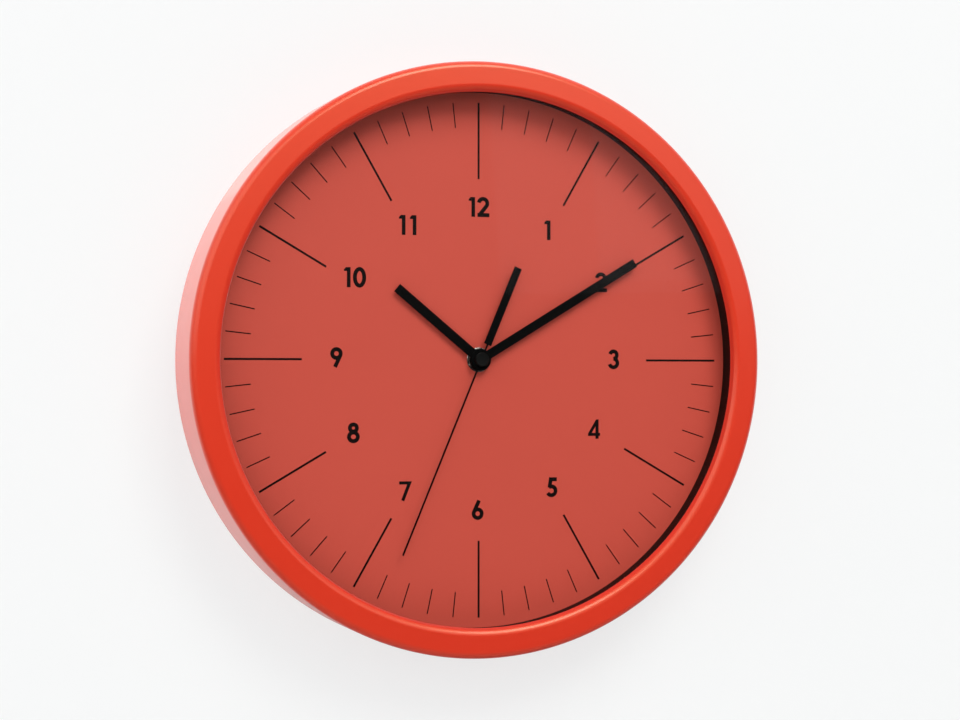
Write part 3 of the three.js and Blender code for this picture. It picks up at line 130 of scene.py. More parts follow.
# Back cover
COVER_PLATE = 2.5 * MM
COVER_RIM_WALL = 3 * MM
COVER_RIM_RADIUS = GLASS_RADIUS - 0.5 * MM
COVER_RIB = 2 * MM
COVER_RIB_DEPTH = 6 * MM
COVER_RIBS = 8
COVER_EDGE = 0.3 * MM
WINDOW_FIT = 0.9 * MM
WINDOW_FRAME = 2.5 * MM
KEYHOLE_SLOT = 5 * MM
KEYHOLE_ENTRY = 10 * MM
KEYHOLE_DROP = 12 * MM
KEYHOLE_PAD = 5 * MM
KEYHOLE_PAD_DEPTH = 1.5 * MM
SCREWS = 6
SCREW_CIRCLE = 144 * MM
SCREW_START = math.radians(30)
SCREW_HEAD = (2.7 * MM, 1.7 * MM)  # radius, height
SCREW_SHANK = (1.4 * MM, 1.1 * MM, 1 * MM)  # crest radius, root radius, pitch
SCREW_CROSS = (1.9 * MM, 0.9 * MM, 0.9 * MM)  # reach, width, depth
SCREW_HOLE = 1.7 * MM
SCREW_POINT = (0.3 * MM, 1.6 * MM)  # length of the cone, start of the thread
SCREW_CROWN = 1.1 * MM

# Movement, knob and cell
HOUSING_EDGE = 0.3 * MM
LID_EDGE = 0.2 * MM
SIGN_SIZE = 3 * MM
SIGN_RISE = 3.2 * MM
SIGN_INSET = 4 * MM
SIGN_LINE = 0.6 * MM
SIGN_ROOT = 0.1 * MM
SIGN_HEIGHT = 0.35 * MM
ARROW_GAP = 1.6 * MM
ARROW_REACH = math.radians(50)
ARROW_HEAD = (2.2 * MM, 1.2 * MM)  # length, half width
KNOB_THICKNESS = 2.6 * MM
KNOB_FLUTES = 12
KNOB_FLUTE = 0.7 * MM
KNOB_SLOT = (1.2 * MM, 1 * MM)  # width, depth
KNOB_SHAFT = 1.2 * MM
KNOB_EDGE = 0.3 * MM
KNOB_FINE_EDGE = 0.1 * MM
PINION = {"teeth": 8, "module": 0.5 * MM, "width": 1.4 * MM, "overlap": 0.2 * MM}
TOOTH = {"addendum": 0.7, "dedendum": 1.15, "tip": 0.08, "root": 0.224}  # modules, pitches
CELL_SLEEVE = 0.2 * MM
CELL_NUB = (2.7 * MM, 1 * MM)  # radius, height
CELL_EDGE = 0.6 * MM
CELL_LIP = 1.3 * MM
CELL_FILM = 0.08 * MM
CELL_DISH = (1.6 * MM, 1.1 * MM, 0.25 * MM)  # inner step, outer step, depth
CELL_BAND = (7 * MM, 2.5 * MM)  # distance from the positive end, width
CONTACT_SHEET = 0.4 * MM
CONTACT_EDGE = 0.08 * MM
SPRING_WIRE = 0.25 * MM
SPRING_TURNS = 3
SPRING_RADII = (3 * MM, 1.5 * MM)
SPRING_STEPS = 16  # to a turn

# How finely round shapes are cut
RING_STEPS = 256
COVER_STEPS = 192
ROUND_STEPS = 96
SMALL_STEPS = 48
ARC_STEPS = 8
WELD = 1e-6
NEAR = 0.05 * MM
SAME_ANGLE = 0.02
SMOOTH_ANGLE = math.radians(32)

# Camera, lights and surroundings
CAMERA_PLACE = Vector((-321.3, -1016.1, -116.6)) * MM
CAMERA_AIM = Vector((0.87, -26.9, -105.1)) * MM
CAMERA_LENS = 76.8
CAMERA_SENSOR = 36
WALL_SIZE = 8
WALL_GAP = 0.2 * MM
WALL_GLOW = 0.75
WALL_DUSK = (-0.32, -0.2)  # heights between which the wall fades in the case's reflections
FLOOR_SIZE = 8
FLOOR_Z = -1.6
DUSK = "303030"
ROOM_LIGHT = (0.02, 0.45)  # below the horizon and high above it

# ---------------------------------------------------------------- modelling helpers


def only(piece):
    bpy.ops.object.select_all(action="DESELECT")
    bpy.context.view_layer.objects.active = piece
    piece.select_set(True)


def added(name):
    """Names the object that an add operator has just made."""
    piece = bpy.context.object
    piece.name = name
    piece.data.name = name
    return piece


def edit(kind="VERT"):
    bpy.ops.object.mode_set(mode="EDIT")
    bpy.ops.mesh.select_mode(type=kind)
    bpy.ops.mesh.select_all(action="SELECT")


def leave():
    bpy.ops.object.mode_set(mode="OBJECT")


def settle(piece, turn=0.0):
    """Turns a piece clockwise about its own origin and brings that origin to the frame's."""
    only(piece)
    piece.rotation_euler.y += turn
    bpy.ops.object.transform_apply(location=True, rotation=True, scale=True)
    return piece


def weld(outwards=True):
    bpy.ops.mesh.select_all(action="SELECT")
    bpy.ops.mesh.remove_doubles(threshold=WELD)
    if outwards:
        bpy.ops.mesh.normals_make_consistent(inside=False)


def modify(piece, kind, **settings):
    only(piece)
    modifier = piece.modifiers.new(kind.title(), kind)
    for key, value in settings.items():
        setattr(modifier, key, value)
    bpy.ops.object.modifier_apply(modifier=modifier.name)
    return piece


def smooth(piece, angle=SMOOTH_ANGLE):
    """Smooth rounds beside faces that stay flat."""
    only(piece)
    bpy.ops.object.shade_smooth_by_angle(angle=angle)
    return modify(piece, "WEIGHTED_NORMAL", keep_sharp=True)


def round_edges(piece, width, segments=2, angle=SMOOTH_ANGLE):
    return modify(
        piece, "BEVEL", width=width, segments=segments,
        limit_method="ANGLE", angle_limit=angle, use_clamp_overlap=True,
    )


def combine(piece, other, operation):
    modify(piece, "BOOLEAN", operation=operation, object=other, solver="EXACT")
    bpy.data.objects.remove(other)
    return piece


def cut(piece, *tools):
    for tool in tools:
        combine(piece, tool, "DIFFERENCE")
    return piece


def fuse(piece, *others):
    for other in others:
        combine(piece, other, "UNION")
    return piece


def joined(name, pieces):
    """Several separate shells as one piece."""
    if len(pieces) == 1:
        pieces[0].name = pieces[0].data.name = name
        return pieces[0]
    only(pieces[0])
    for piece in pieces:
        piece.select_set(True)
    bpy.ops.object.join()
    return added(name)


def copied(piece, name):
    """A copy with a mesh of its own."""
    only(piece)
    bpy.ops.object.duplicate(linked=False)
    return added(name)


def clockwise_turn(piece, angle):
    """Turns a piece clockwise about the hand axis."""
    bpy.context.scene.cursor.location = AXIS
    only(piece)
    bpy.ops.object.origin_set(type="ORIGIN_CURSOR")
    return settle(piece, angle)


def first_point(name, place, origin=AXIS):
    """A mesh of one point, in edit mode, whose object stands at origin."""
    bpy.ops.object.select_all(action="DESELECT")
    bpy.ops.mesh.primitive_plane_add(size=MM, location=origin)
    piece = added(name)
    edit()
    bpy.ops.mesh.merge(type="CENTER")
    bpy.ops.transform.translate(value=Vector(place) - origin)
    return piece


def draw_line(points):
    """Extrudes the selected point from each point to the next."""
    for start, end in zip(points, points[1:]):
        bpy.ops.mesh.extrude_vertices_move(TRANSFORM_OT_translate={"value": end - start})


def turned(name, profile, steps=RING_STEPS, centre=AXIS, along=Vector((0, 1, 0))):
    """A profile of (radius, distance along the axis) points, spun about that axis."""
    out = Vector((0, 0, 1))
    points = [centre + out * radius + along * distance for radius, distance in profile]
    on_axis = profile[0][0] == 0 and profile[-1][0] == 0
    piece = first_point(name, points[0], centre)
    draw_line(points if on_axis else [*points, points[0]])
    bpy.ops.mesh.select_all(action="SELECT")
    bpy.ops.mesh.spin(steps=steps, angle=TURN, center=centre, axis=along)
    weld()
    leave()
    return settle(piece)


def arc(centre, radius, start, end, steps=ARC_STEPS):
    """Points of an arc about (a, b), from one angle to another in degrees."""
    angles = [math.radians(start + (end - start) * i / steps) for i in range(steps + 1)]
    return [
        (centre[0] + radius * math.cos(a), centre[1] + radius * math.sin(a)) for a in angles
    ]


def slab(name, low, high):
    """A block between two corners."""
    low, high = Vector(low), Vector(high)
    bpy.ops.object.select_all(action="DESELECT")
    bpy.ops.mesh.primitive_cube_add(size=1, location=(low + high) / 2, scale=high - low)
    return settle(added(name))


def rod(name, place, y0, y1, radius, steps=SMALL_STEPS):
    bpy.ops.object.select_all(action="DESELECT")
    bpy.ops.mesh.primitive_cylinder_add(
        vertices=steps, radius=radius, depth=y1 - y0,
        location=(place[0], (y0 + y1) / 2, place[1]), rotation=(math.pi / 2, 0, 0),
    )
    return settle(added(name))


def plate(name, outline, y0, y1, origin=AXIS):
    """A flat outline of (x, z) points about origin, made thick from y0 to y1."""
    points = [Vector((x, y0, z)) + origin for x, z in outline]
    piece = first_point(name, points[0], origin)
    draw_line([*points, points[0]])
    weld(outwards=False)
    bpy.ops.mesh.edge_face_add()
    bpy.ops.mesh.extrude_region_move(TRANSFORM_OT_translate={"value": (0, y1 - y0, 0)})
    weld()
    leave()
    return settle(piece)


def stroke(name, path, width, y0, y1, closed=False):
    """A line of (x, z) points about the hand axis, made width wide and thick from y0 to y1."""
    points = [Vector((x, y0, z)) + AXIS for x, z in path]
    piece = first_point(name, points[0])
    draw_line([*points, points[0]] if closed else points)
    weld(outwards=False)
    bpy.ops.mesh.extrude_region_move(TRANSFORM_OT_translate={"value": (0, y1 - y0, 0)})
    leave()
    modify(piece, "SOLIDIFY", thickness=width, offset=0, use_even_offset=True)
    edit()
    weld()
    leave()
    return settle(piece)


def wire(name, points, radius):
    """A round wire along a line of points."""
    piece = first_point(name, points[0])
    draw_line(points)
    leave()
    bpy.ops.object.convert(target="CURVE")
    piece = added(name)
    piece.data.bevel_depth = radius
    piece.data.bevel_resolution = 3
    piece.data.use_fill_caps = True
    bpy.ops.object.convert(target="MESH")
    piece = added(name)
    edit()
    weld()
    leave()
    return settle(piece)


def copy_of(node, name):
    """A welded copy of a frame node, to be finished with finer edges."""
    piece = copied(frame["nodes"][node], name)
    piece.parent = None
    for key in [k for k in piece.keys() if k.startswith("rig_")]:
        del piece[key]
    only(piece)
    edit()
    bpy.ops.mesh.remove_doubles(threshold=WELD)
    bpy.ops.mesh.dissolve_limited(angle_limit=math.radians(1))
    leave()
    return piece


def clockwise(angle, distance):
    """The (x, z) step of a distance in a clockwise direction from 12."""
    return distance * math.sin(angle), distance * math.cos(angle)


def pointing(node):
    """The clockwise angle and the length of a hand, from its farthest points."""
    steps = [v.co - AXIS for v in frame["nodes"][node].data.vertices]
    reach = max(math.hypot(s.x, s.z) for s in steps)
    tips = [s for s in steps if math.hypot(s.x, s.z) > reach - NEAR]
    x, z = sum(s.x for s in tips) / len(tips), sum(s.z for s in tips) / len(tips)
    return math.atan2(x, z), math.hypot(x, z)


# ---------------------------------------------------------------- materials


def paint(code):
    """A colour written as six hexadecimal digits, as the linear values that shaders take."""
    values = [int(code[i : i + 2], 16) / 255 for i in (0, 2, 4)]
    return [v / 12.92 if v <= 0.04045 else ((v + 0.055) / 1.055) ** 2.4 for v in values] + [1]


class Tree:
    """Adds and links the nodes of one shader tree."""

    def __init__(self, tree):
        self.tree = tree

    def add(self, kind, **settings):
        node = self.tree.nodes.new("ShaderNode" + kind)
        for key, value in settings.items():
            setattr(node, key, value)
        return node

    def feed(self, socket, value):
        """Links an output to a socket, or sets the socket to a plain value."""
        if isinstance(value, bpy.types.NodeSocket):
            self.tree.links.new(value, socket)
        else:
            socket.default_value = value

    def fill(self, node, values):
        """Feeds the inputs of a node by their labels."""
        for label, value in values.items():
            self.feed(node.inputs[label], value)
        return node

    def line_up(self, node, values):
        """Feeds the first inputs of a node in their order."""
        for socket, value in zip(node.inputs, values):
            self.feed(socket, value)
        return node.outputs[0]

    def math(self, operation, *values):
        return self.line_up(self.add("Math", operation=operation), values)

    def mix(self, share, a, b, blend="MIX"):
        node = self.add("Mix", data_type="RGBA", blend_type=blend)
        self.feed(node.inputs[0], share)
        self.feed(node.inputs[6], a)
        self.feed(node.inputs[7], b)
        return node.outputs[2]

    def spread(self, value, low, high, to_low, to_high):
        return self.line_up(self.add("MapRange"), (value, low, high, to_low, to_high))

    def choose(self, share, shader, other):
        """The first shader where share is 0, and the other where it is 1."""
        return self.line_up(self.add("MixShader"), (share, shader, other))

    def show(self, surface):
        self.feed(self.tree.nodes["Material Output"].inputs["Surface"], surface)

    def unseen(self, share, shader):
        """A shader that is clear where share is 1."""
        return self.choose(share, shader, self.add("BsdfTransparent").outputs[0])

    def noise(self, vector, scale, detail=3.0, roughness=0.5):
        values = {"Vector": vector, "Scale": scale, "Detail": detail, "Roughness": roughness}
        return self.fill(self.add("TexNoise"), values).outputs["Fac"]

    def relief(self, height, strength, distance):
        values = {"Height": height, "Strength": strength, "Distance": distance}
        return self.fill(self.add("Bump"), values).outputs["Normal"]

    def axis(self, letter, vector):
        node = self.add("SeparateXYZ")
        self.feed(node.inputs[0], vector)
        return node.outputs[letter]

    def place(self, stretch=(1, 1, 1)):
        """The piece's own coordinates, stretched."""
        mapping = self.add("Mapping")
        self.feed(mapping.inputs["Vector"], self.add("TexCoord").outputs["Object"])
        mapping.inputs["Scale"].default_value = stretch
        return mapping.outputs[0]


def effect(name, inputs, outputs, build):
    """A node group with named inputs and outputs, filled in by build(tree, inputs)."""
    group = bpy.data.node_groups.new(name, "ShaderNodeTree")
    kinds = {"Colour": "NodeSocketColor", "Tint": "NodeSocketColor"}
    for label, value in inputs.items():
        kind = kinds.get(label, "NodeSocketFloat")
        socket = group.interface.new_socket(label, in_out="INPUT", socket_type=kind)
        socket.default_value = value
    for label in outputs:
        kind = kinds.get(label, "NodeSocketFloat")
        group.interface.new_socket(label, in_out="OUTPUT", socket_type=kind)
    tree = Tree(group)
    start = group.nodes.new("NodeGroupInput")
    end = group.nodes.new("NodeGroupOutput")
    for label, socket in build(tree, start.outputs).items():
        group.links.new(socket, end.inputs[label])
    return group


WHITE = [1, 1, 1, 1]
GRAIN_DEPTH = 0.1 * MM
WIRE_DEPTH = 0.05 * MM
TRACK_SCALE = (700, 700, 700)
COAT_ROUGHNESS = 0.2
BLOOM_ROUGHNESS = 0.5


def roughened(tree, given, pattern):
    return tree.math("MULTIPLY_ADD", pattern, given["Unevenness"], given["Roughness"])


def build_moulding(tree, given):
    """Moulded plastic: slow colour drift, a spark-eroded grain and uneven gloss."""
    place = tree.place()
    drift = tree.noise(place, 14.0, 2.0)
    grain = tree.noise(place, given["Grain"], 2.0, 0.6)
    gloss = tree.noise(place, 90.0, 4.0)
    share = tree.math("MULTIPLY", drift, given["Variation"])
    return {
        "Colour": tree.mix(share, given["Colour"], given["Tint"]),
        "Roughness": roughened(tree, given, gloss),
        "Height": tree.math("MULTIPLY", grain, given["Depth"]),
    }


def build_brushing(tree, given):
    """Metal with fine streaks along X."""
    streaks = tree.noise(tree.place((0.04, 1, 1)), given["Grain"], 3.0, 0.6)
    blotches = tree.noise(tree.place(), 60.0, 3.0)
    share = tree.math("MULTIPLY", blotches, given["Variation"])
    return {
        "Colour": tree.mix(share, given["Colour"], given["Tint"]),
        "Roughness": roughened(tree, given, streaks),
        "Height": tree.math("MULTIPLY", streaks, given["Depth"]),
    }


def build_printing(tree, given):
    """Printed card: cloudy ink, fine fibres and a few specks."""
    place = tree.place()
    cloud = tree.noise(place, 22.0, 5.0, 0.6)
    fibre = tree.noise(tree.place((1, 1, 3)), given["Grain"], 4.0, 0.7)
    speck = tree.spread(tree.noise(place, 260.0, 1.0), 0.72, 0.8, 0.0, 0.5)
    share = tree.math("MULTIPLY", tree.math("ADD", cloud, fibre), given["Variation"])
    toned = tree.mix(share, given["Colour"], given["Tint"])
    return {
        "Colour": tree.mix(speck, toned, given["Tint"]),
        "Roughness": roughened(tree, given, fibre),
        "Height": tree.math("MULTIPLY", fibre, given["Depth"]),
    }


SURFACE_INPUTS = {
    "Colour": WHITE,
    "Tint": WHITE,
    "Variation": 0.3,
    "Grain": 1500.0,
    "Depth": 0.5,
    "Roughness": 0.4,
    "Unevenness": 0.1,
}
SURFACE_OUTPUTS = ("Colour", "Roughness", "Height")
MOULDING = effect("Moulded plastic", SURFACE_INPUTS, SURFACE_OUTPUTS, build_moulding)
BRUSHING = effect("Brushed metal", SURFACE_INPUTS, SURFACE_OUTPUTS, build_brushing)
PRINTING = effect("Printed card", SURFACE_INPUTS, SURFACE_OUTPUTS, build_printing)


def inside(material):
    """The tree of a material and its main shader."""
    return Tree(material.node_tree), material.node_tree.nodes["Principled BSDF"]


def new_material(name):
    material = bpy.data.materials.new(name)
    material.use_nodes = True
    return material, *inside(material)


def finish(
    name,
    group,
    colour,
    tint,
    metallic=0.0,
    bump=0.05,
    shine=0.5,
    shine_tint="FFFFFF",
    coat=0.0,
    bloom=0.0,
    **values,
):
    """A material whose colour, roughness and bump come from one of the shared effects."""
    material, tree, shader = new_material(name)
    surface = tree.add("Group", node_tree=group)
    tree.fill(surface, {"Colour": paint(colour), "Tint": paint(tint), **values})
    looks = {
        "Base Color": surface.outputs["Colour"],
        "Roughness": surface.outputs["Roughness"],
        "Normal": tree.relief(surface.outputs["Height"], bump, GRAIN_DEPTH),
        "Metallic": metallic,
        "Specular IOR Level": shine,
        "Specular Tint": paint(shine_tint),
        "Coat Weight": coat,
        "Coat Roughness": COAT_ROUGHNESS,
        "Sheen Weight": bloom,
        "Sheen Roughness": BLOOM_ROUGHNESS,
    }
    tree.fill(shader, looks)
    return material


def lens_glass():
    """Clear glass. Rays off another surface, and light on its way in, pass straight through."""
    material, tree, shader = new_material("clear glass")
    smear = tree.noise(tree.place((1, 1, 2)), 9.0, 4.0)
    looks = {
        "Base Color": paint("FBFDFC"),
        "Transmission Weight": 1,
        "IOR": 1.2,
        "Roughness": tree.spread(smear, 0.45, 0.8, 0.0, 0.03),
    }
    tree.fill(shader, looks)
    path = tree.add("LightPath").outputs
    surface = tree.unseen(path["Is Reflection Ray"], shader.outputs[0])
    tree.show(tree.unseen(path["Is Shadow Ray"], surface))
    return material


def coil_copper():
    """Enamelled wire wound side by side along X."""
    material = finish("coil wire", BRUSHING, "A8592C", "7A3A1A", 0.9, Roughness=0.3)
    tree, shader = inside(material)
    turns = tree.add("TexWave", wave_type="BANDS", bands_direction="X", wave_profile="SIN")
    tree.fill(turns, {"Vector": tree.place(), "Scale": 2000})
    tree.feed(shader.inputs["Normal"], tree.relief(turns.outputs["Fac"], 0.6, WIRE_DEPTH))
    return material


def overprint(material, share, colour):
    """Lays a second colour over a material where share is 1."""
    tree, shader = inside(material)
    plain = shader.inputs["Base Color"].links[0].from_socket
    tree.feed(shader.inputs["Base Color"], tree.mix(share, plain, paint(colour)))
    return material


def cell_print():
    """Printed shrink sleeve: grey with one pale ring near the positive end."""
    material = finish("cell sleeve", MOULDING, "3E464C", "2F363B", 0.2, Roughness=0.25)
    tree, _ = inside(material)
    x = tree.axis("X", tree.place())
    inset, width = CELL_BAND
    end = cell_high.x - inset
    before = tree.math("LESS_THAN", x, end)
    past = tree.math("GREATER_THAN", x, end - width)
    return overprint(material, tree.math("MULTIPLY", before, past), "C9CDD0")


def board_green():
    """Solder resist with lighter copper tracks under it."""
    material = finish("circuit board", MOULDING, "1F5A33", "2B7342", Roughness=0.3, bump=0.02)
    tree, _ = inside(material)
    tracks = tree.add("TexBrick", offset=0.5, squash=1.0)
    tree.fill(tracks, {"Vector": tree.place(TRACK_SCALE), "Mortar Size": 0.06})
    return overprint(material, tracks.outputs["Fac"], "4D9A5C")


FINISHES = {
    "case_plastic": finish(
        "case plastic", MOULDING, "E42C15", "E6301A",
        Roughness=0.36, Unevenness=0.06, Grain=1800.0, bump=0.06,
        shine=0.8, shine_tint="FFE4A8", coat=0.42, bloom=0.15,
    ),
    "lens": lens_glass(),
    "spacer_plastic": finish(
        "spacer plastic", MOULDING, "1E0603", "160502", Roughness=0.6, shine=0.15
    ),
    "dial_print": finish(
        "dial print", PRINTING, "CB4736", "D34D3B",
        Roughness=0.6, Unevenness=0.15, Variation=0.4, Grain=900.0, bump=0.08,
    ),
    "print_ink": finish(
        "print ink", PRINTING, "0C0302", "140604", Roughness=0.6, bump=0.04, shine=0.1
    ),
    "cover_plastic": finish(
        "cover plastic", MOULDING, "232326", "2E2E31", Roughness=0.5, Grain=900.0, bump=0.25
    ),
    "screw_steel": finish(
        "zinc screw", BRUSHING, "B9BCC0", "8E8F92", 1.0, Roughness=0.25, Unevenness=0.2
    ),
    "movement_plastic": finish(
        "movement plastic", MOULDING, "17181A", "202124", Roughness=0.42, bump=0.12
    ),
    "pale_stamping": finish(
        "pale stamping", PRINTING, "B9B7AE", "AFADA4", Roughness=0.5, bump=0.04
    ),
    "rubber": finish("rubber", MOULDING, "161616", "1E1E1E", Roughness=0.8, bump=0.2),
    "nickel_plate": finish(
        "nickel plate", BRUSHING, "CFCBC2", "A7A39A", 1.0, Roughness=0.18, Unevenness=0.15
    ),
    "stator_steel": finish("stator steel", BRUSHING, "8D9196", "73777B", 1.0, Roughness=0.35),
    "bobbin_plastic": finish("bobbin plastic", MOULDING, "E4DECC", "D6CEB8", Roughness=0.4),
    "coil_wire": coil_copper(),
    "board_laminate": board_green(),
    "crystal_can": finish("crystal can", BRUSHING, "C4C6C8", "A2A4A6", 1.0, Roughness=0.15),
    "chip_resin": finish("chip resin", MOULDING, "0E0E10", "16161A", Roughness=0.3, bump=0.15),
    "contact_sheet": finish("contact sheet", BRUSHING, "CDB987", "A98F57", 1.0, Roughness=0.2),
    "cell_sleeve": cell_print(),
    "cell_steel": finish("cell steel", BRUSHING, "BFC1C3", "98999B", 1.0, Roughness=0.2),
    "bonded_magnet": finish("bonded magnet", MOULDING, "3A3A3D", "4A4A4E", Roughness=0.5),
    "gear_plastic": finish("gear plastic", MOULDING, "E9E4D6", "DCD5C2", Roughness=0.35),
    "tinted_gear_plastic": finish(
        "tinted gear plastic", MOULDING, "7FA6B8", "6C93A6", Roughness=0.35
    ),
    "hand_paint": finish(
        "hand paint", MOULDING, "030303", "050504",
        Roughness=0.6, Unevenness=0.1, bump=0.05, shine=0.05,
    ),
    "cap_paint": finish(
        "cap paint", MOULDING, "060605", "0A0A09", Roughness=0.45, bump=0.1, shine=0.15
    ),
}


def dress(piece, body, slot, *nodes, finish_name=None, angle=SMOOTH_ANGLE):
    """Gives a finished piece its material and its body, and hides the frame nodes that it
    stands for.
    """
    piece.data.materials.clear()
    piece.data.materials.append(FINISHES[finish_name or slot])
    smooth(piece, angle)
    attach(piece, body)
    if nodes:
        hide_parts(*nodes)
    return piece


# ---------------------------------------------------------------- camera and surroundings


def make_camera():
    bpy.ops.object.camera_add(location=CAMERA_PLACE)
    camera = bpy.context.object
    camera.name = "camera"
    direction = CAMERA_AIM - CAMERA_PLACE
    camera.rotation_euler = direction.to_track_quat("-Z", "Y").to_euler()
    camera.data.lens = CAMERA_LENS
    camera.data.sensor_width = CAMERA_SENSOR
    camera.data.clip_end = 50
    bpy.context.scene.camera = camera


def lamp(name, direction, distance, width, height, power, colour="FFFFFF"):
    """A soft box that lies in a direction from the dial's centre and faces it."""
    place = AXIS + Vector(direction).normalized() * distance
    bpy.ops.object.light_add(type="AREA", location=place)
    light = bpy.context.object
    light.name = name
    light.data.shape = "RECTANGLE"
    light.data.size = width
    light.data.size_y = height
    light.data.energy = power
    light.data.color = paint(colour)[:3]
    light.rotation_euler = (AXIS - place).to_track_quat("-Z", "Y").to_euler()
    return light


def room_sheet(name, size, place, turn=(0, 0, 0)):
    """A flat sheet of the room, with the tree and the shader of its paint."""
    bpy.ops.object.select_all(action="DESELECT")
    bpy.ops.mesh.primitive_plane_add(size=size, location=place, rotation=turn)
    sheet = settle(added(name))
    material, tree, shader = new_material(f"{name} paint")
    sheet.data.materials.append(material)
    return sheet, tree, shader


def make_wall():
    """A pale wall that takes the clock's shadow and lets light from behind reach the cover."""
    upright = (math.pi / 2, 0, 0)
    wall, tree, shader = room_sheet("wall", WALL_SIZE, (0, WALL_GAP, 0), upright)
    pale = tree.mix(tree.noise(tree.place(), 6.0, 3.0), paint("F4F6F7"), paint("F8F9F9"))
    height = tree.axis("Z", tree.add("TexCoord").outputs["Object"])
    path = tree.add("LightPath").outputs
    high = tree.spread(height, *WALL_DUSK, 0, 1)
    mirrored = tree.math("MULTIPLY", high, path["Is Glossy Ray"])
    dusk = tree.math("SUBTRACT", path["Is Glossy Ray"], mirrored)
    colour = tree.mix(dusk, pale, paint(DUSK))
    tree.fill(shader, {"Base Color": colour, "Roughness": 0.9, "Specular IOR Level": 0.1})
    glow = tree.fill(tree.add("Emission"), {"Color": paint("FAFBFB")}).outputs[0]
    seen = tree.math("MAXIMUM", mirrored, path["Is Camera Ray"])
    surface = tree.choose(tree.math("MULTIPLY", seen, WALL_GLOW), shader.outputs[0], glow)
    surface = tree.unseen(tree.add("NewGeometry").outputs["Backfacing"], surface)
    tree.show(tree.unseen(path["Is Shadow Ray"], surface))


def looked_at(tree):
    """1 for rays that show a surface directly, in a mirror or through glass, and else 0."""
    path = tree.add("LightPath").outputs
    seen = tree.math("MAXIMUM", path["Is Camera Ray"], path["Is Glossy Ray"])
    return tree.math("MAXIMUM", seen, path["Is Transmission Ray"])


def make_floor():
    floor, tree, shader = room_sheet("floor", FLOOR_SIZE, (0, 0, FLOOR_Z))
    pale = tree.mix(tree.noise(tree.place(), 3.0, 3.0), paint("D6D7D8"), paint("DDDDDD"))
    dusk = tree.add("LightPath").outputs["Is Glossy Ray"]
    tree.fill(shader, {"Base Color": tree.mix(dusk, pale, paint(DUSK)), "Roughness": 0.8})


def make_world():
    """Soft light from above, dark below, and a pale background to the eye and in glass."""
    world = bpy.data.worlds.new("room")
    bpy.context.scene.world = world
    world.use_nodes = True
    tree = Tree(world.node_tree)
    background = world.node_tree.nodes["Background"]
    background.inputs["Color"].default_value = paint("F4F6F8")
    sky = tree.add("TexCoord").outputs["Generated"]
    room = tree.spread(tree.axis("Z", sky), 0, 0.2, *ROOM_LIGHT)
    rear = tree.spread(tree.axis("Y", sky), 0, 0.3, 0, 1)
    behind = tree.math("MULTIPLY", looked_at(tree), rear)
    shown = tree.math("MAXIMUM", behind, tree.add("LightPath").outputs["Is Camera Ray"])
    tree.feed(background.inputs["Strength"], tree.math("MAXIMUM", room, shown))


def make_light():
    lamp("key", (0.17, -0.68, 0.71), 3, 1.5, 1.5, 54, "FFFDF8")
    lamp("fill", (-0.64, -0.65, 0.41), 3, 3.6, 2.4, 35, "FBFCFF")
    lamp("side", (0.5, -0.82, 0.28), 3, 1.4, 1.4, 4)
    lamp("rear key", (-0.35, 1, 0.45), 2.6, 1.8, 1.4, 44)


# ---------------------------------------------------------------- case, glass and dial


def case_shell():
    lip = CASE_RADIUS - BEZEL_WIDTH
    shoulder = lip + LIP_FLARE - INNER_ROUND * math.cos(LIP_ANGLE)
    brow = CASE_RADIUS - OUTER_ROUND
    fall = (brow - shoulder) * math.cos(FACE_ANGLE) + OUTER_ROUND
    face, rim = math.degrees(FACE_ANGLE), math.degrees(LIP_ANGLE)
    seat = glass_low.y - SEAT
    rib_inner = GLASS_RADIUS + RIB_FIT
    rib_outer = rib_inner + RIB_WALL
    rib_back = dial_high.y + RIB_OVERLAP
    wall_inner = CASE_RADIUS - CASE_WALL
    front_inner = FRONT_Y + CASE_WALL
    profile = [
        (wall_inner, 0),
        *arc((CASE_RADIUS - EDGE_ROUND, -EDGE_ROUND), EDGE_ROUND, 90, 0, 3),
        *arc((brow, FRONT_Y - fall / math.sin(FACE_ANGLE)), OUTER_ROUND, 0, face, 12),
        *arc((shoulder, FRONT_Y + INNER_ROUND), INNER_ROUND, -90, rim, 12),
        *arc((lip + LIP_ROUND, seat - LIP_ROUND), LIP_ROUND, -140, -270, 4),
        (rib_inner, seat),
        (rib_inner, rib_back),
        (rib_outer, rib_back),
        (rib_outer, front_inner),
        (wall_inner, front_inner),
    ]
    return dress(turned("case_shell", profile), "case", "case_plastic", "case_ring")


def screw_bosses():
    """Six blind posts inside the case, one for each screw of the cover."""
    back = cover_high.y - COVER_PLATE - SEAT
    front = FRONT_Y + BOSS_FLOOR
    bottom = back - BOSS_DEPTH
    profile = [
        (0, front),
        (BOSS_RADIUS, front),
        (BOSS_RADIUS, back),
        (BOSS_BORE, back),
        (BOSS_BORE, bottom),
        (0, bottom),
    ]
    centre = AXIS + Vector((0, 0, SCREW_CIRCLE))
    first = turned("boss", profile, SMALL_STEPS, centre)
    return dress(joined("screw_bosses", around_case(first, "boss")), "case", "case_plastic")


def around_case(first, name):
    """Copies of a piece that was made at 12 o'clock, one at each screw's place."""
    pieces = []
    for i in range(SCREWS):
        piece = copied(first, f"{name}_{i + 1}")
        pieces.append(clockwise_turn(piece, SCREW_START + i * TURN / SCREWS))
    bpy.data.objects.remove(first)
    return pieces


def glass_pane():
    y0, y1, e = glass_low.y, glass_high.y, PANE_EDGE
    r = GLASS_RADIUS
    profile = [(0, y0), (r - e, y0), (r, y0 + e), (r, y1 - e), (r - e, y1), (0, y1)]
    return dress(turned("glass_pane", profile), "case", "lens", "glass_lens")


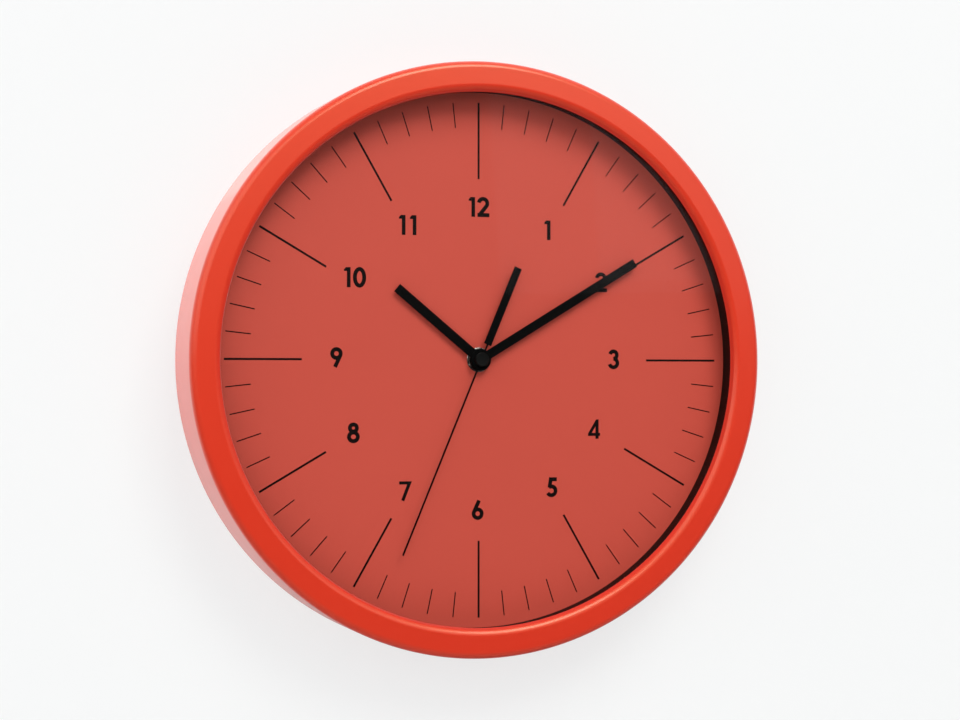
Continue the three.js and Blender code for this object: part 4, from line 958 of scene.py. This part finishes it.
def spacer_collar():
    y0, y1, e = spacer_low.y, spacer_high.y, FINE_EDGE
    outer = GLASS_RADIUS
    inner = outer - SPACER_WALL
    profile = [
        *arc((inner + e, y0 + e), e, 180, 270, 3),
        *arc((outer - e, y0 + e), e, 270, 360, 3),
        *arc((outer - e, y1 - e), e, 0, 90, 3),
        *arc((inner + e, y1 - e), e, 90, 180, 3),
    ]
    return dress(turned("spacer_collar", profile), "case", "spacer_plastic", "spacer_ring")


def disc(name, bore, radius, y0, y1, steps=ROUND_STEPS, edge=FINE_EDGE, chamfer=0.0):
    """A flat ring with a rounded rim, and a chamfer at the front of its bore."""
    profile = [
        *([(bore, y0 + chamfer), (bore + chamfer, y0)] if chamfer else [(bore, y0)]),
        *arc((radius - edge, y0 + edge), edge, -90, 0, 3),
        *arc((radius - edge, y1 - edge), edge, 0, 90, 3),
        (bore, y1),
    ]
    return turned(name, profile, steps)


def dial_face():
    face = disc("dial_face", DIAL_HOLE, GLASS_RADIUS, dial_low.y, dial_high.y, RING_STEPS)
    return dress(face, "case", "dial_print", "dial_plate")


# ---------------------------------------------------------------- dial print


def print_on_dial(piece):
    return dress(piece, "case", "dial_print", finish_name="print_ink")


def ticks(name, tick, count, skip=0):
    """Printed bars that point at the hand axis, joined as one piece."""
    inner, outer, width = tick
    bars = []
    for i in range(count):
        if skip and i % skip == 0:
            continue
        low = (-width / 2, DIAL_Y - INK, AXIS.z + inner)
        high = (width / 2, DIAL_Y, AXIS.z + outer)
        bars.append(clockwise_turn(slab("tick", low, high), i * TURN / count))
    return print_on_dial(joined(name, bars))


# Digits are drawn from their lower left corner on a grid 9.7 high. A line or a ring is the
# middle of a stroke, an outline is the edge of a flat shape, and a hole is cut from it.
GRID_HEIGHT = 9.7
GRID = NUMERAL_HEIGHT / GRID_HEIGHT
HALF = NUMERAL_STROKE / GRID / 2
TOP = GRID_HEIGHT - HALF


def ring_line(centre, across, tall):
    return [
        (centre[0] + across * math.cos(a), centre[1] + tall * math.sin(a))
        for a in [i * TURN / 40 for i in range(40)]
    ]


def six_lines():
    """A round bowl with a straight stem that runs off its left side."""
    centre, radius, lean = (2.9, 2.95), 2.1, math.radians(65)
    start = (centre[0] - radius * math.sin(lean), centre[1] + radius * math.cos(lean))
    rise = GRID_HEIGHT - 0.25 - start[1]
    end = (start[0] + rise / math.tan(lean), start[1] + rise)
    return [("ring", ring_line(centre, radius, radius)), ("line", [start, end])]


def upside_down(shapes, width):
    return [(kind, [(width - x, GRID_HEIGHT - z) for x, z in line]) for kind, line in shapes]


DIGITS = {
    "0": (6.6, [("ring", ring_line((3.3, 4.85), 3.3 - HALF, 5 - HALF))]),
    "1": (3.4, [("outline", [
        (1.45, 0), (3.3, 0), (3.3, 9.7), (1.0, 9.7), (0, 8.6), (0, 7.85), (1.45, 7.85)])]),
    "2": (6.4, [
        ("line", [*arc((3.0, 6.75), 2.2, 172, -38, 18), (1.15, HALF)]),
        ("line", [(0.1, HALF), (6.3, HALF)]),
    ]),
    "3": (6.4, [
        ("line", arc((2.95, 7.0), 1.85, 165, -90, 18)),
        ("line", arc((2.95, 2.98), 2.15, 90, -165, 18)),
    ]),
    "4": (6.5, [
        ("outline", [
            (0, 1.45), (3.95, 1.45), (3.95, 0), (5.65, 0), (5.65, 1.45), (6.45, 1.45),
            (6.45, 2.95), (5.65, 2.95), (5.65, 9.7), (4.3, 9.7), (0, 2.7)]),
        ("hole", [(1.95, 2.95), (3.95, 2.95), (3.95, 6.2)]),
    ]),
    "5": (6.1, [
        ("line", [(5.8, TOP), (2.75, TOP)]),
        ("line", [(2.75, TOP + HALF - 0.05), (1.9, 4.6)]),
        ("line", arc((2.95, 3.0), 2.2, 128, -152, 20)),
    ]),
    "6": (5.8, six_lines()),
    "7": (6.4, [("outline", [
        (0, 9.7), (6.4, 9.7), (2.5, 0), (1.0, 0.65), (4.0, 8.2), (0, 8.2)])]),
    "8": (6.3, [
        ("ring", ring_line((3.15, 7.2), 1.75, 1.7)),
        ("ring", ring_line((3.15, 2.95), 2.2, 2.1)),
    ]),
    "9": (5.8, upside_down(six_lines(), 5.8)),
}


def digit(name, figure):
    """One digit of the dial, drawn at the hand axis."""
    made = None
    for kind, line in DIGITS[figure][1]:
        points = [(x * GRID, z * GRID) for x, z in line]
        y0, y1 = DIAL_Y - INK, DIAL_Y
        if kind in ("line", "ring"):
            shape = stroke(name, points, NUMERAL_STROKE, y0, y1, closed=kind == "ring")
        else:
            margin = MM if kind == "hole" else 0
            shape = plate(name, points, y0 - margin, y1 + margin)
        if made is None:
            made = shape
        else:
            combine(made, shape, "DIFFERENCE" if kind == "hole" else "UNION")
    return made


def numeral(number):
    figures = str(number)
    widths = [DIGITS[f][0] * GRID for f in figures]
    gap = NUMERAL_GAP * (2 if number == 11 else 1)
    total = sum(widths) + gap * (len(figures) - 1)
    x, z = (value * MM for value in NUMERAL_PLACES[number])
    left = x - total / 2
    shapes = []
    for figure, width in zip(figures, widths):
        shape = digit("digit", figure)
        shape.location = (left, 0, z - NUMERAL_HEIGHT / 2)
        shapes.append(settle(shape))
        left += width + gap
    return print_on_dial(joined(f"numeral_{number}", shapes))


# ---------------------------------------------------------------- hands


def hub_ring(name, low, high, radius, bore):
    e = FINE_EDGE
    profile = [
        (bore, low + e),
        (bore + e, low),
        *arc((radius - e, low + e), e, -90, 0, 3),
        (radius, high),
        (bore, high),
    ]
    return turned(name, profile, ROUND_STEPS)


def tube_hand(name, node, body, sizes):
    """A straight hand: a bevelled sheet blade with a turned hub."""
    low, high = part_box(node)
    angle, length = pointing(node)
    half = sizes["width"] / 2
    blade = slab(
        name,
        (-half, high.y - HAND_SHEET, AXIS.z + sizes["bore"] + FINE_EDGE),
        (half, high.y, AXIS.z + length),
    )
    round_edges(blade, HAND_EDGE, 2)
    clockwise_turn(blade, angle)
    fuse(blade, hub_ring("hub", low.y, high.y, sizes["hub"], sizes["bore"]))
    return dress(blade, body, "hand_paint", node)


def needle_hand():
    """The second hand: a fine needle with a broad counterweight."""
    low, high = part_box("second_hand")
    angle, length = pointing("second_hand")
    thin = NEEDLE_WIDTH / 2
    start, end, width = COUNTERWEIGHT
    wide = width / 2
    outline = [
        (thin, length), (thin, -start), (wide, -start), (wide, -end),
        (-wide, -end), (-wide, -start), (-thin, -start), (-thin, length),
    ]
    piece = plate("second_pointer", outline, low.y, high.y)
    round_edges(piece, HAND_EDGE, 2)
    clockwise_turn(piece, angle)
    hub = hub_ring("hub", low.y, high.y, NEEDLE_HUB, NEEDLE_BORE)
    bore = rod("bore", (0, AXIS.z), low.y - MM, high.y + MM, NEEDLE_BORE)
    cut(fuse(piece, hub), bore)
    return dress(piece, "second", "hand_paint", "second_hand")


def hand_cap():
    low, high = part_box("second_hand_cap")
    radius, e = high.x, CAP_EDGE
    profile = [
        (0, low.y + CAP_DISH),
        (radius * 0.55, low.y + CAP_DISH * 0.7),
        (radius - 2.2 * e, low.y + CAP_DISH * 0.15),
        *arc((radius - e, low.y + e), e, -90, 0, 6),
        (radius, high.y),
        (0, high.y),
    ]
    cap = turned("hand_cap", profile, ROUND_STEPS)
    return dress(cap, "second", "hand_paint", "second_hand_cap", finish_name="cap_paint")


# ---------------------------------------------------------------- hand post


def post_washer():
    low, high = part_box("mounting_washer")
    e = WASHER_EDGE
    washer = disc("post_washer", POST_HOLE, high.x, low.y, high.y, edge=e, chamfer=e)
    return dress(washer, "case", "nickel_plate", "mounting_washer")


def post_nut():
    low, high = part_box("mounting_nut")
    corner = NUT_ACROSS_FLATS / math.sqrt(3)
    nut = rod("post_nut", (0, AXIS.z), low.y, high.y, corner, 6)
    cone = turned(
        "cone",
        [
            (0, low.y - MM),
            (NUT_ACROSS_FLATS / 2 - MM, low.y - MM),
            (NUT_ACROSS_FLATS / 2 + 2 * NUT_CHAMFER, low.y + NUT_CHAMFER),
            (corner + MM, low.y + MM),
            (corner + MM, high.y + MM),
            (0, high.y + MM),
        ],
        ROUND_STEPS,
    )
    combine(nut, cone, "INTERSECT")
    cut(nut, rod("bore", (0, AXIS.z), low.y - MM, high.y + MM, POST_HOLE, ROUND_STEPS))
    round_edges(nut, NUT_EDGE)
    return dress(nut, "case", "nickel_plate", "mounting_nut")


def post_rubber():
    low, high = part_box("rubber_washer")
    rubber = disc("post_rubber", DIAL_HOLE, high.x, low.y, high.y)
    return dress(rubber, "case", "rubber", "rubber_washer")


# ---------------------------------------------------------------- back cover


def keyhole_tool(y0, y1):
    slot_top = -KEYHOLE_SLOT / 2
    tool = rod("keyhole", (0, -KEYHOLE_DROP), y0, y1, KEYHOLE_ENTRY / 2)
    half = KEYHOLE_SLOT / 2
    neck = slab("neck", (-half, y0, -KEYHOLE_DROP), (half, y1, slot_top))
    return fuse(tool, neck, rod("top", (0, slot_top), y0, y1, half))


def cover_ribs(reach):
    """Eight bars between the window's frame and the rim."""
    y0 = cover_high.y - COVER_PLATE - COVER_RIB_DEPTH
    y1 = cover_high.y - COVER_PLATE / 2
    half = COVER_RIB / 2
    bars = []
    for i in range(COVER_RIBS):
        low = (-half, y0, AXIS.z + reach)
        bar = slab("rib", low, (half, y1, AXIS.z + COVER_RIM_RADIUS - MM))
        bars.append(clockwise_turn(bar, (i + 0.5) * TURN / COVER_RIBS))
    return joined("ribs", bars)


def cover_panel():
    back = cover_high.y
    plate_front = back - COVER_PLATE
    rib_front = plate_front - COVER_RIB_DEPTH
    outer, rim = cover_high.x, COVER_RIM_RADIUS
    e = EDGE_ROUND
    profile = [
        (0, back),
        *arc((outer - e, back - e), e, 90, 0, 4),
        (outer, plate_front),
        (rim, plate_front),
        (rim, cover_low.y),
        (rim - COVER_RIM_WALL, cover_low.y),
        (rim - COVER_RIM_WALL, plate_front),
        (0, plate_front),
    ]
    panel = turned("cover_panel", profile, COVER_STEPS)
    x = lid_high.x + WINDOW_FIT
    low_z = housing_low.z - WINDOW_FIT
    high_z = housing_high.z + WINDOW_FIT
    w = WINDOW_FRAME
    surround = slab(
        "surround", (-x - w, rib_front, low_z - w), (x + w, back - COVER_PLATE / 2, high_z + w)
    )
    half = KEYHOLE_ENTRY / 2 + KEYHOLE_PAD
    pad = slab(
        "pad",
        (-half, plate_front - KEYHOLE_PAD_DEPTH, -KEYHOLE_DROP - half),
        (half, back - COVER_PLATE / 2, KEYHOLE_PAD),
    )
    reach = min(x, high_z - AXIS.z)
    fuse(panel, cover_ribs(reach), surround, pad)
    cut(panel, slab("window", (-x, rib_front - MM, low_z), (x, back + MM, high_z)))
    cut(panel, keyhole_tool(rib_front - MM, back + MM))
    holes = []
    for i in range(SCREWS):
        dx, dz = clockwise(SCREW_START + i * TURN / SCREWS, SCREW_CIRCLE)
        holes.append(rod("hole", (dx, AXIS.z + dz), plate_front - MM, back + MM, SCREW_HOLE))
    cut(panel, joined("holes", holes))
    round_edges(panel, COVER_EDGE, 2)
    return dress(panel, "case", "cover_plastic", "back_cover")


def screw_profile(tip, head_front, head_back):
    """A pan head on a shank whose thread is cut as rings, one to a pitch."""
    crest, root, pitch = SCREW_SHANK
    cone, bare = SCREW_POINT
    head = SCREW_HEAD[0]
    crown = SCREW_CROWN
    thread = []
    y = tip + bare
    while y < head_front - pitch:
        thread += [(root, y), (crest, y + 0.35 * pitch), (crest, y + 0.5 * pitch)]
        y += pitch
    return [
        (0, tip),
        (root * 0.35, tip + cone),
        *thread,
        (root, head_front),
        (head, head_front),
        *arc((head - crown, head_back - crown), crown, 0, 75, 5),
        (0, head_back),
    ]


def cover_screws():
    low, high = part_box("back_cover_screw_1")
    head_front = high.y - SCREW_HEAD[1]
    centre = AXIS + Vector((0, 0, SCREW_CIRCLE))
    screw = turned("screw", screw_profile(low.y, head_front, high.y), SMALL_STEPS, centre)
    reach, width, depth = SCREW_CROSS
    deep, past, z = high.y - depth, high.y + MM, centre.z
    half = width / 2
    across = slab("cross", (-reach, deep, z - half), (reach, past, z + half))
    upright = slab("cross", (-half, deep, z - reach), (half, past, z + reach))
    cut(screw, fuse(across, upright))
    for i, piece in enumerate(around_case(screw, "cover_screw")):
        dress(piece, "case", "screw_steel", f"back_cover_screw_{i + 1}")


# ---------------------------------------------------------------- movement


def edged_copy(name, node, body, slot, width, segments=2):
    """The frame node's own shape with its sharp edges rounded."""
    piece = round_edges(copy_of(node, name), width, segments)
    return dress(piece, body, slot, node)


def lid_line(name, path):
    """A raised and stamped line along (x, z) points on the rear of the movement's lid."""
    return stroke(name, path, SIGN_LINE, lid_high.y - SIGN_ROOT, lid_high.y + SIGN_HEIGHT)


def stamp_on_lid(piece):
    return dress(piece, "case", "movement_plastic", finish_name="pale_stamping")


def polarity_signs():
    """A plus and a minus on the lid, each above its end of the cell."""
    reach = SIGN_SIZE / 2
    z = cell_high.z + SIGN_RISE - AXIS.z
    plus, minus = cell_high.x - SIGN_INSET, cell_low.x + SIGN_INSET
    cross = lid_line("cross", [(plus - reach, z), (plus + reach, z)])
    fuse(cross, lid_line("upright", [(plus, z - reach), (plus, z + reach)]))
    bar = lid_line("bar", [(minus - reach, z), (minus + reach, z)])
    return stamp_on_lid(joined("polarity_signs", [cross, bar]))


def knob_arrow():
    """An arrow with two heads on the lid, bowed round the setting knob."""
    centre = Vector((knob_low.x + knob_high.x, 0, knob_low.z + knob_high.z)) / 2
    radius = (knob_high.x - knob_low.x) / 2 + ARROW_GAP
    bow = []
    for i in range(2 * ARC_STEPS + 1):
        x, z = clockwise(ARROW_REACH * (i / ARC_STEPS - 1), radius)
        bow.append((centre.x + x, centre.z + z - AXIS.z))
    arrow = lid_line("knob_arrow", bow)
    length, half = ARROW_HEAD
    for side in (-1, 1):
        base = side * (ARROW_REACH - SIGN_LINE / radius)
        tip = side * (ARROW_REACH + length / radius)
        outline = [
            clockwise(tip, radius),
            clockwise(base, radius - half),
            clockwise(base, radius + half),
        ]
        head = plate("head", outline, lid_high.y - SIGN_ROOT, lid_high.y + SIGN_HEIGHT, centre)
        fuse(arrow, head)
    return stamp_on_lid(arrow)


def knob_shape():
    """The setting knob with its flutes, its coin slot, its shaft and its pinion."""
    x, z = (knob_low.x + knob_high.x) / 2, (knob_low.z + knob_high.z) / 2
    place = Vector((x, 0, z))
    back = knob_high.y
    front = back - KNOB_THICKNESS
    radius = (knob_high.x - knob_low.x) / 2
    e = KNOB_EDGE
    profile = [
        (0, knob_low.y),
        (KNOB_SHAFT - 0.2 * MM, knob_low.y),
        (KNOB_SHAFT, knob_low.y + 0.2 * MM),
        (KNOB_SHAFT, front),
        (radius - e, front),
        (radius, front + e),
        *arc((radius - e, back - e), e, 0, 90, 4),
        (0, back),
    ]
    knob = turned("knob", profile, ROUND_STEPS, place)
    flutes = []
    for i in range(KNOB_FLUTES):
        dx, dz = clockwise(i * TURN / KNOB_FLUTES, radius)
        flutes.append(rod("flute", (x + dx, z + dz), front - MM, back + MM, KNOB_FLUTE, 24))
    cut(knob, joined("flutes", flutes))
    width, depth = KNOB_SLOT
    slot_low = (x - radius - MM, back - depth, z - width / 2)
    cut(knob, slab("slot", slot_low, (x + radius + MM, back + MM, z + width / 2)))
    fuse(knob, knob_pinion(place))
    round_edges(knob, KNOB_FINE_EDGE, 1)
    return dress(knob, "setting_knob", "gear_plastic", "setting_knob")


def knob_pinion(place):
    """The pinion on the knob's shaft, turned to the teeth of the frame's own."""
    teeth, module = PINION["teeth"], PINION["module"]
    y1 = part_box("motion_wheel")[1].y + PINION["overlap"]
    y0 = y1 - PINION["width"]
    tip = (teeth / 2 + TOOTH["addendum"]) * module
    root = (teeth / 2 - TOOTH["dedendum"]) * module
    crown, foot = TOOTH["tip"], TOOTH["root"]
    pitch = TURN / teeth
    phase = tooth_phase("setting_knob", place, tip, y0, y1)
    outline = []
    for i in range(teeth):
        middle = phase + i * pitch
        for radius, share in ((root, -foot), (tip, -crown), (tip, crown), (root, foot)):
            outline.append(clockwise(middle + share * pitch, radius))
    return plate("pinion", outline, y0, y1, place)


def tooth_phase(node, place, tip, y0, y1):
    """The clockwise angle of one tooth of a frame's pinion, between its two tip corners."""
    steps = [vertex.co - place for vertex in frame["nodes"][node].data.vertices]
    tips = [step for step in steps if abs(math.hypot(step.x, step.z) - tip) < NEAR]
    angles = [math.atan2(step.x, step.z) for step in tips]
    level = [a for a, step in zip(angles, tips) if y0 - 2 * NEAR < step.y < y1 + 2 * NEAR]
    if not level:
        return 0.0
    corner = level[0]
    others = [a for a in angles if abs(a - corner) > SAME_ANGLE]
    partner = min(others, key=lambda a: abs(a - corner), default=corner)
    return (corner + partner) / 2


# ---------------------------------------------------------------- cell and contacts


def cell_pieces():
    """The cell's steel can with its nub, and the printed film round it."""
    radius = (cell_high.y - cell_low.y) / 2
    centre = Vector((0, CELL_AXIS.y, CELL_AXIS.z))
    along = Vector((1, 0, 0))
    nub, height = CELL_NUB
    start, end = cell_low.x, cell_high.x - height
    inner = radius - CELL_SLEEVE
    film = CELL_FILM
    step_in, step_out, dish = CELL_DISH
    e = CELL_EDGE
    profile = [
        (0, start),
        (inner - step_in, start),
        (inner - step_out, start + dish),
        *arc((inner - e, start + e), e, -90, 0, 4),
        *arc((inner - e, end - e), e, 0, 90, 4),
        (nub + 0.3 * MM, end),
        (nub, end + 0.2 * MM),
        *arc((nub - dish, cell_high.x - dish), dish, 0, 90, 3),
        (0, cell_high.x),
    ]
    can = turned("cell_can", profile, ROUND_STEPS, centre, along)
    dress(can, "battery", "cell_sleeve", finish_name="cell_steel")
    lip = radius - CELL_LIP
    profile = [
        (lip, start),
        *arc((radius - e, start + e), e, -90, 0, 6),
        *arc((radius - e, end - e), e, 0, 90, 6),
        (lip, end),
        (lip, end - film),
        *arc((inner - e, end - e), e - film / 2, 90, 0, 4),
        *arc((inner - e, start + e), e - film / 2, 0, -90, 4),
        (lip, start + film),
    ]
    sleeve = turned("cell_wrap", profile, ROUND_STEPS, centre, along)
    dress(sleeve, "battery", "cell_sleeve", "battery")


def contact_spring():
    """The coiled end of the negative contact, one wire wound as a cone."""
    _, y, z = CELL_AXIS
    start = spring_low.x + CONTACT_SHEET + SPRING_WIRE / 2
    end = cell_low.x - SPRING_WIRE - SEAT
    wide, narrow = SPRING_RADII
    count = SPRING_TURNS * SPRING_STEPS
    points = []
    for i in range(count + 1):
        share = i / count
        radius = wide + (narrow - wide) * share
        angle = share * SPRING_TURNS * TURN
        x = start + (end - start) * share
        points.append(Vector((x, y + radius * math.cos(angle), z + radius * math.sin(angle))))
    return dress(wire("contact_spring", points, SPRING_WIRE), "case", "contact_sheet")


def negative_contact():
    _, y, z = CELL_AXIS
    piece = copy_of("battery_contact_negative", "contact_negative")
    reach = SPRING_RADII[0] + MM
    front = spring_low.x + CONTACT_SHEET
    tool = slab("tool", (front, y - reach, z - reach), (cell_low.x + MM, y + reach, z + reach))
    cut(piece, tool)
    round_edges(piece, CONTACT_EDGE, 1)
    dress(piece, "case", "contact_sheet", "battery_contact_negative")


# ---------------------------------------------------------------- the clock


def dress_carried_nodes():
    """Frame nodes that keep their own shape get the finish of their slot."""
    slots = {part["node"]: part["material_slot"] for part in frame["record"]["subparts"]}
    for name, node in frame["nodes"].items():
        if node.hide_render:
            continue
        node.data.materials.clear()
        node.data.materials.append(FINISHES[slots[name]])


bpy.context.scene.view_settings.view_transform = "Standard"
make_camera()
make_world()
make_light()
make_wall()
make_floor()
case_shell()
screw_bosses()
glass_pane()
spacer_collar()
dial_face()
ticks("hour_ticks", HOUR_TICK, 12)
ticks("minute_ticks", MINUTE_TICK, 60, skip=5)
for hour in NUMERAL_PLACES:
    numeral(hour)
tube_hand("hour_pointer", "hour_hand", "hour", HOUR_HAND)
tube_hand("minute_pointer", "minute_hand", "minute", MINUTE_HAND)
needle_hand()
hand_cap()
post_washer()
post_nut()
post_rubber()
cover_panel()
cover_screws()
edged_copy("movement_case", "movement_housing", "case", "movement_plastic", HOUSING_EDGE)
edged_copy("movement_lid", "movement_rear_cover", "case", "movement_plastic", LID_EDGE)
polarity_signs()
knob_arrow()
knob_shape()
cell_pieces()
negative_contact()
contact_spring()
positive = "battery_contact_positive"
edged_copy("contact_positive", positive, "case", "contact_sheet", CONTACT_EDGE, 1)
dress_carried_nodes()
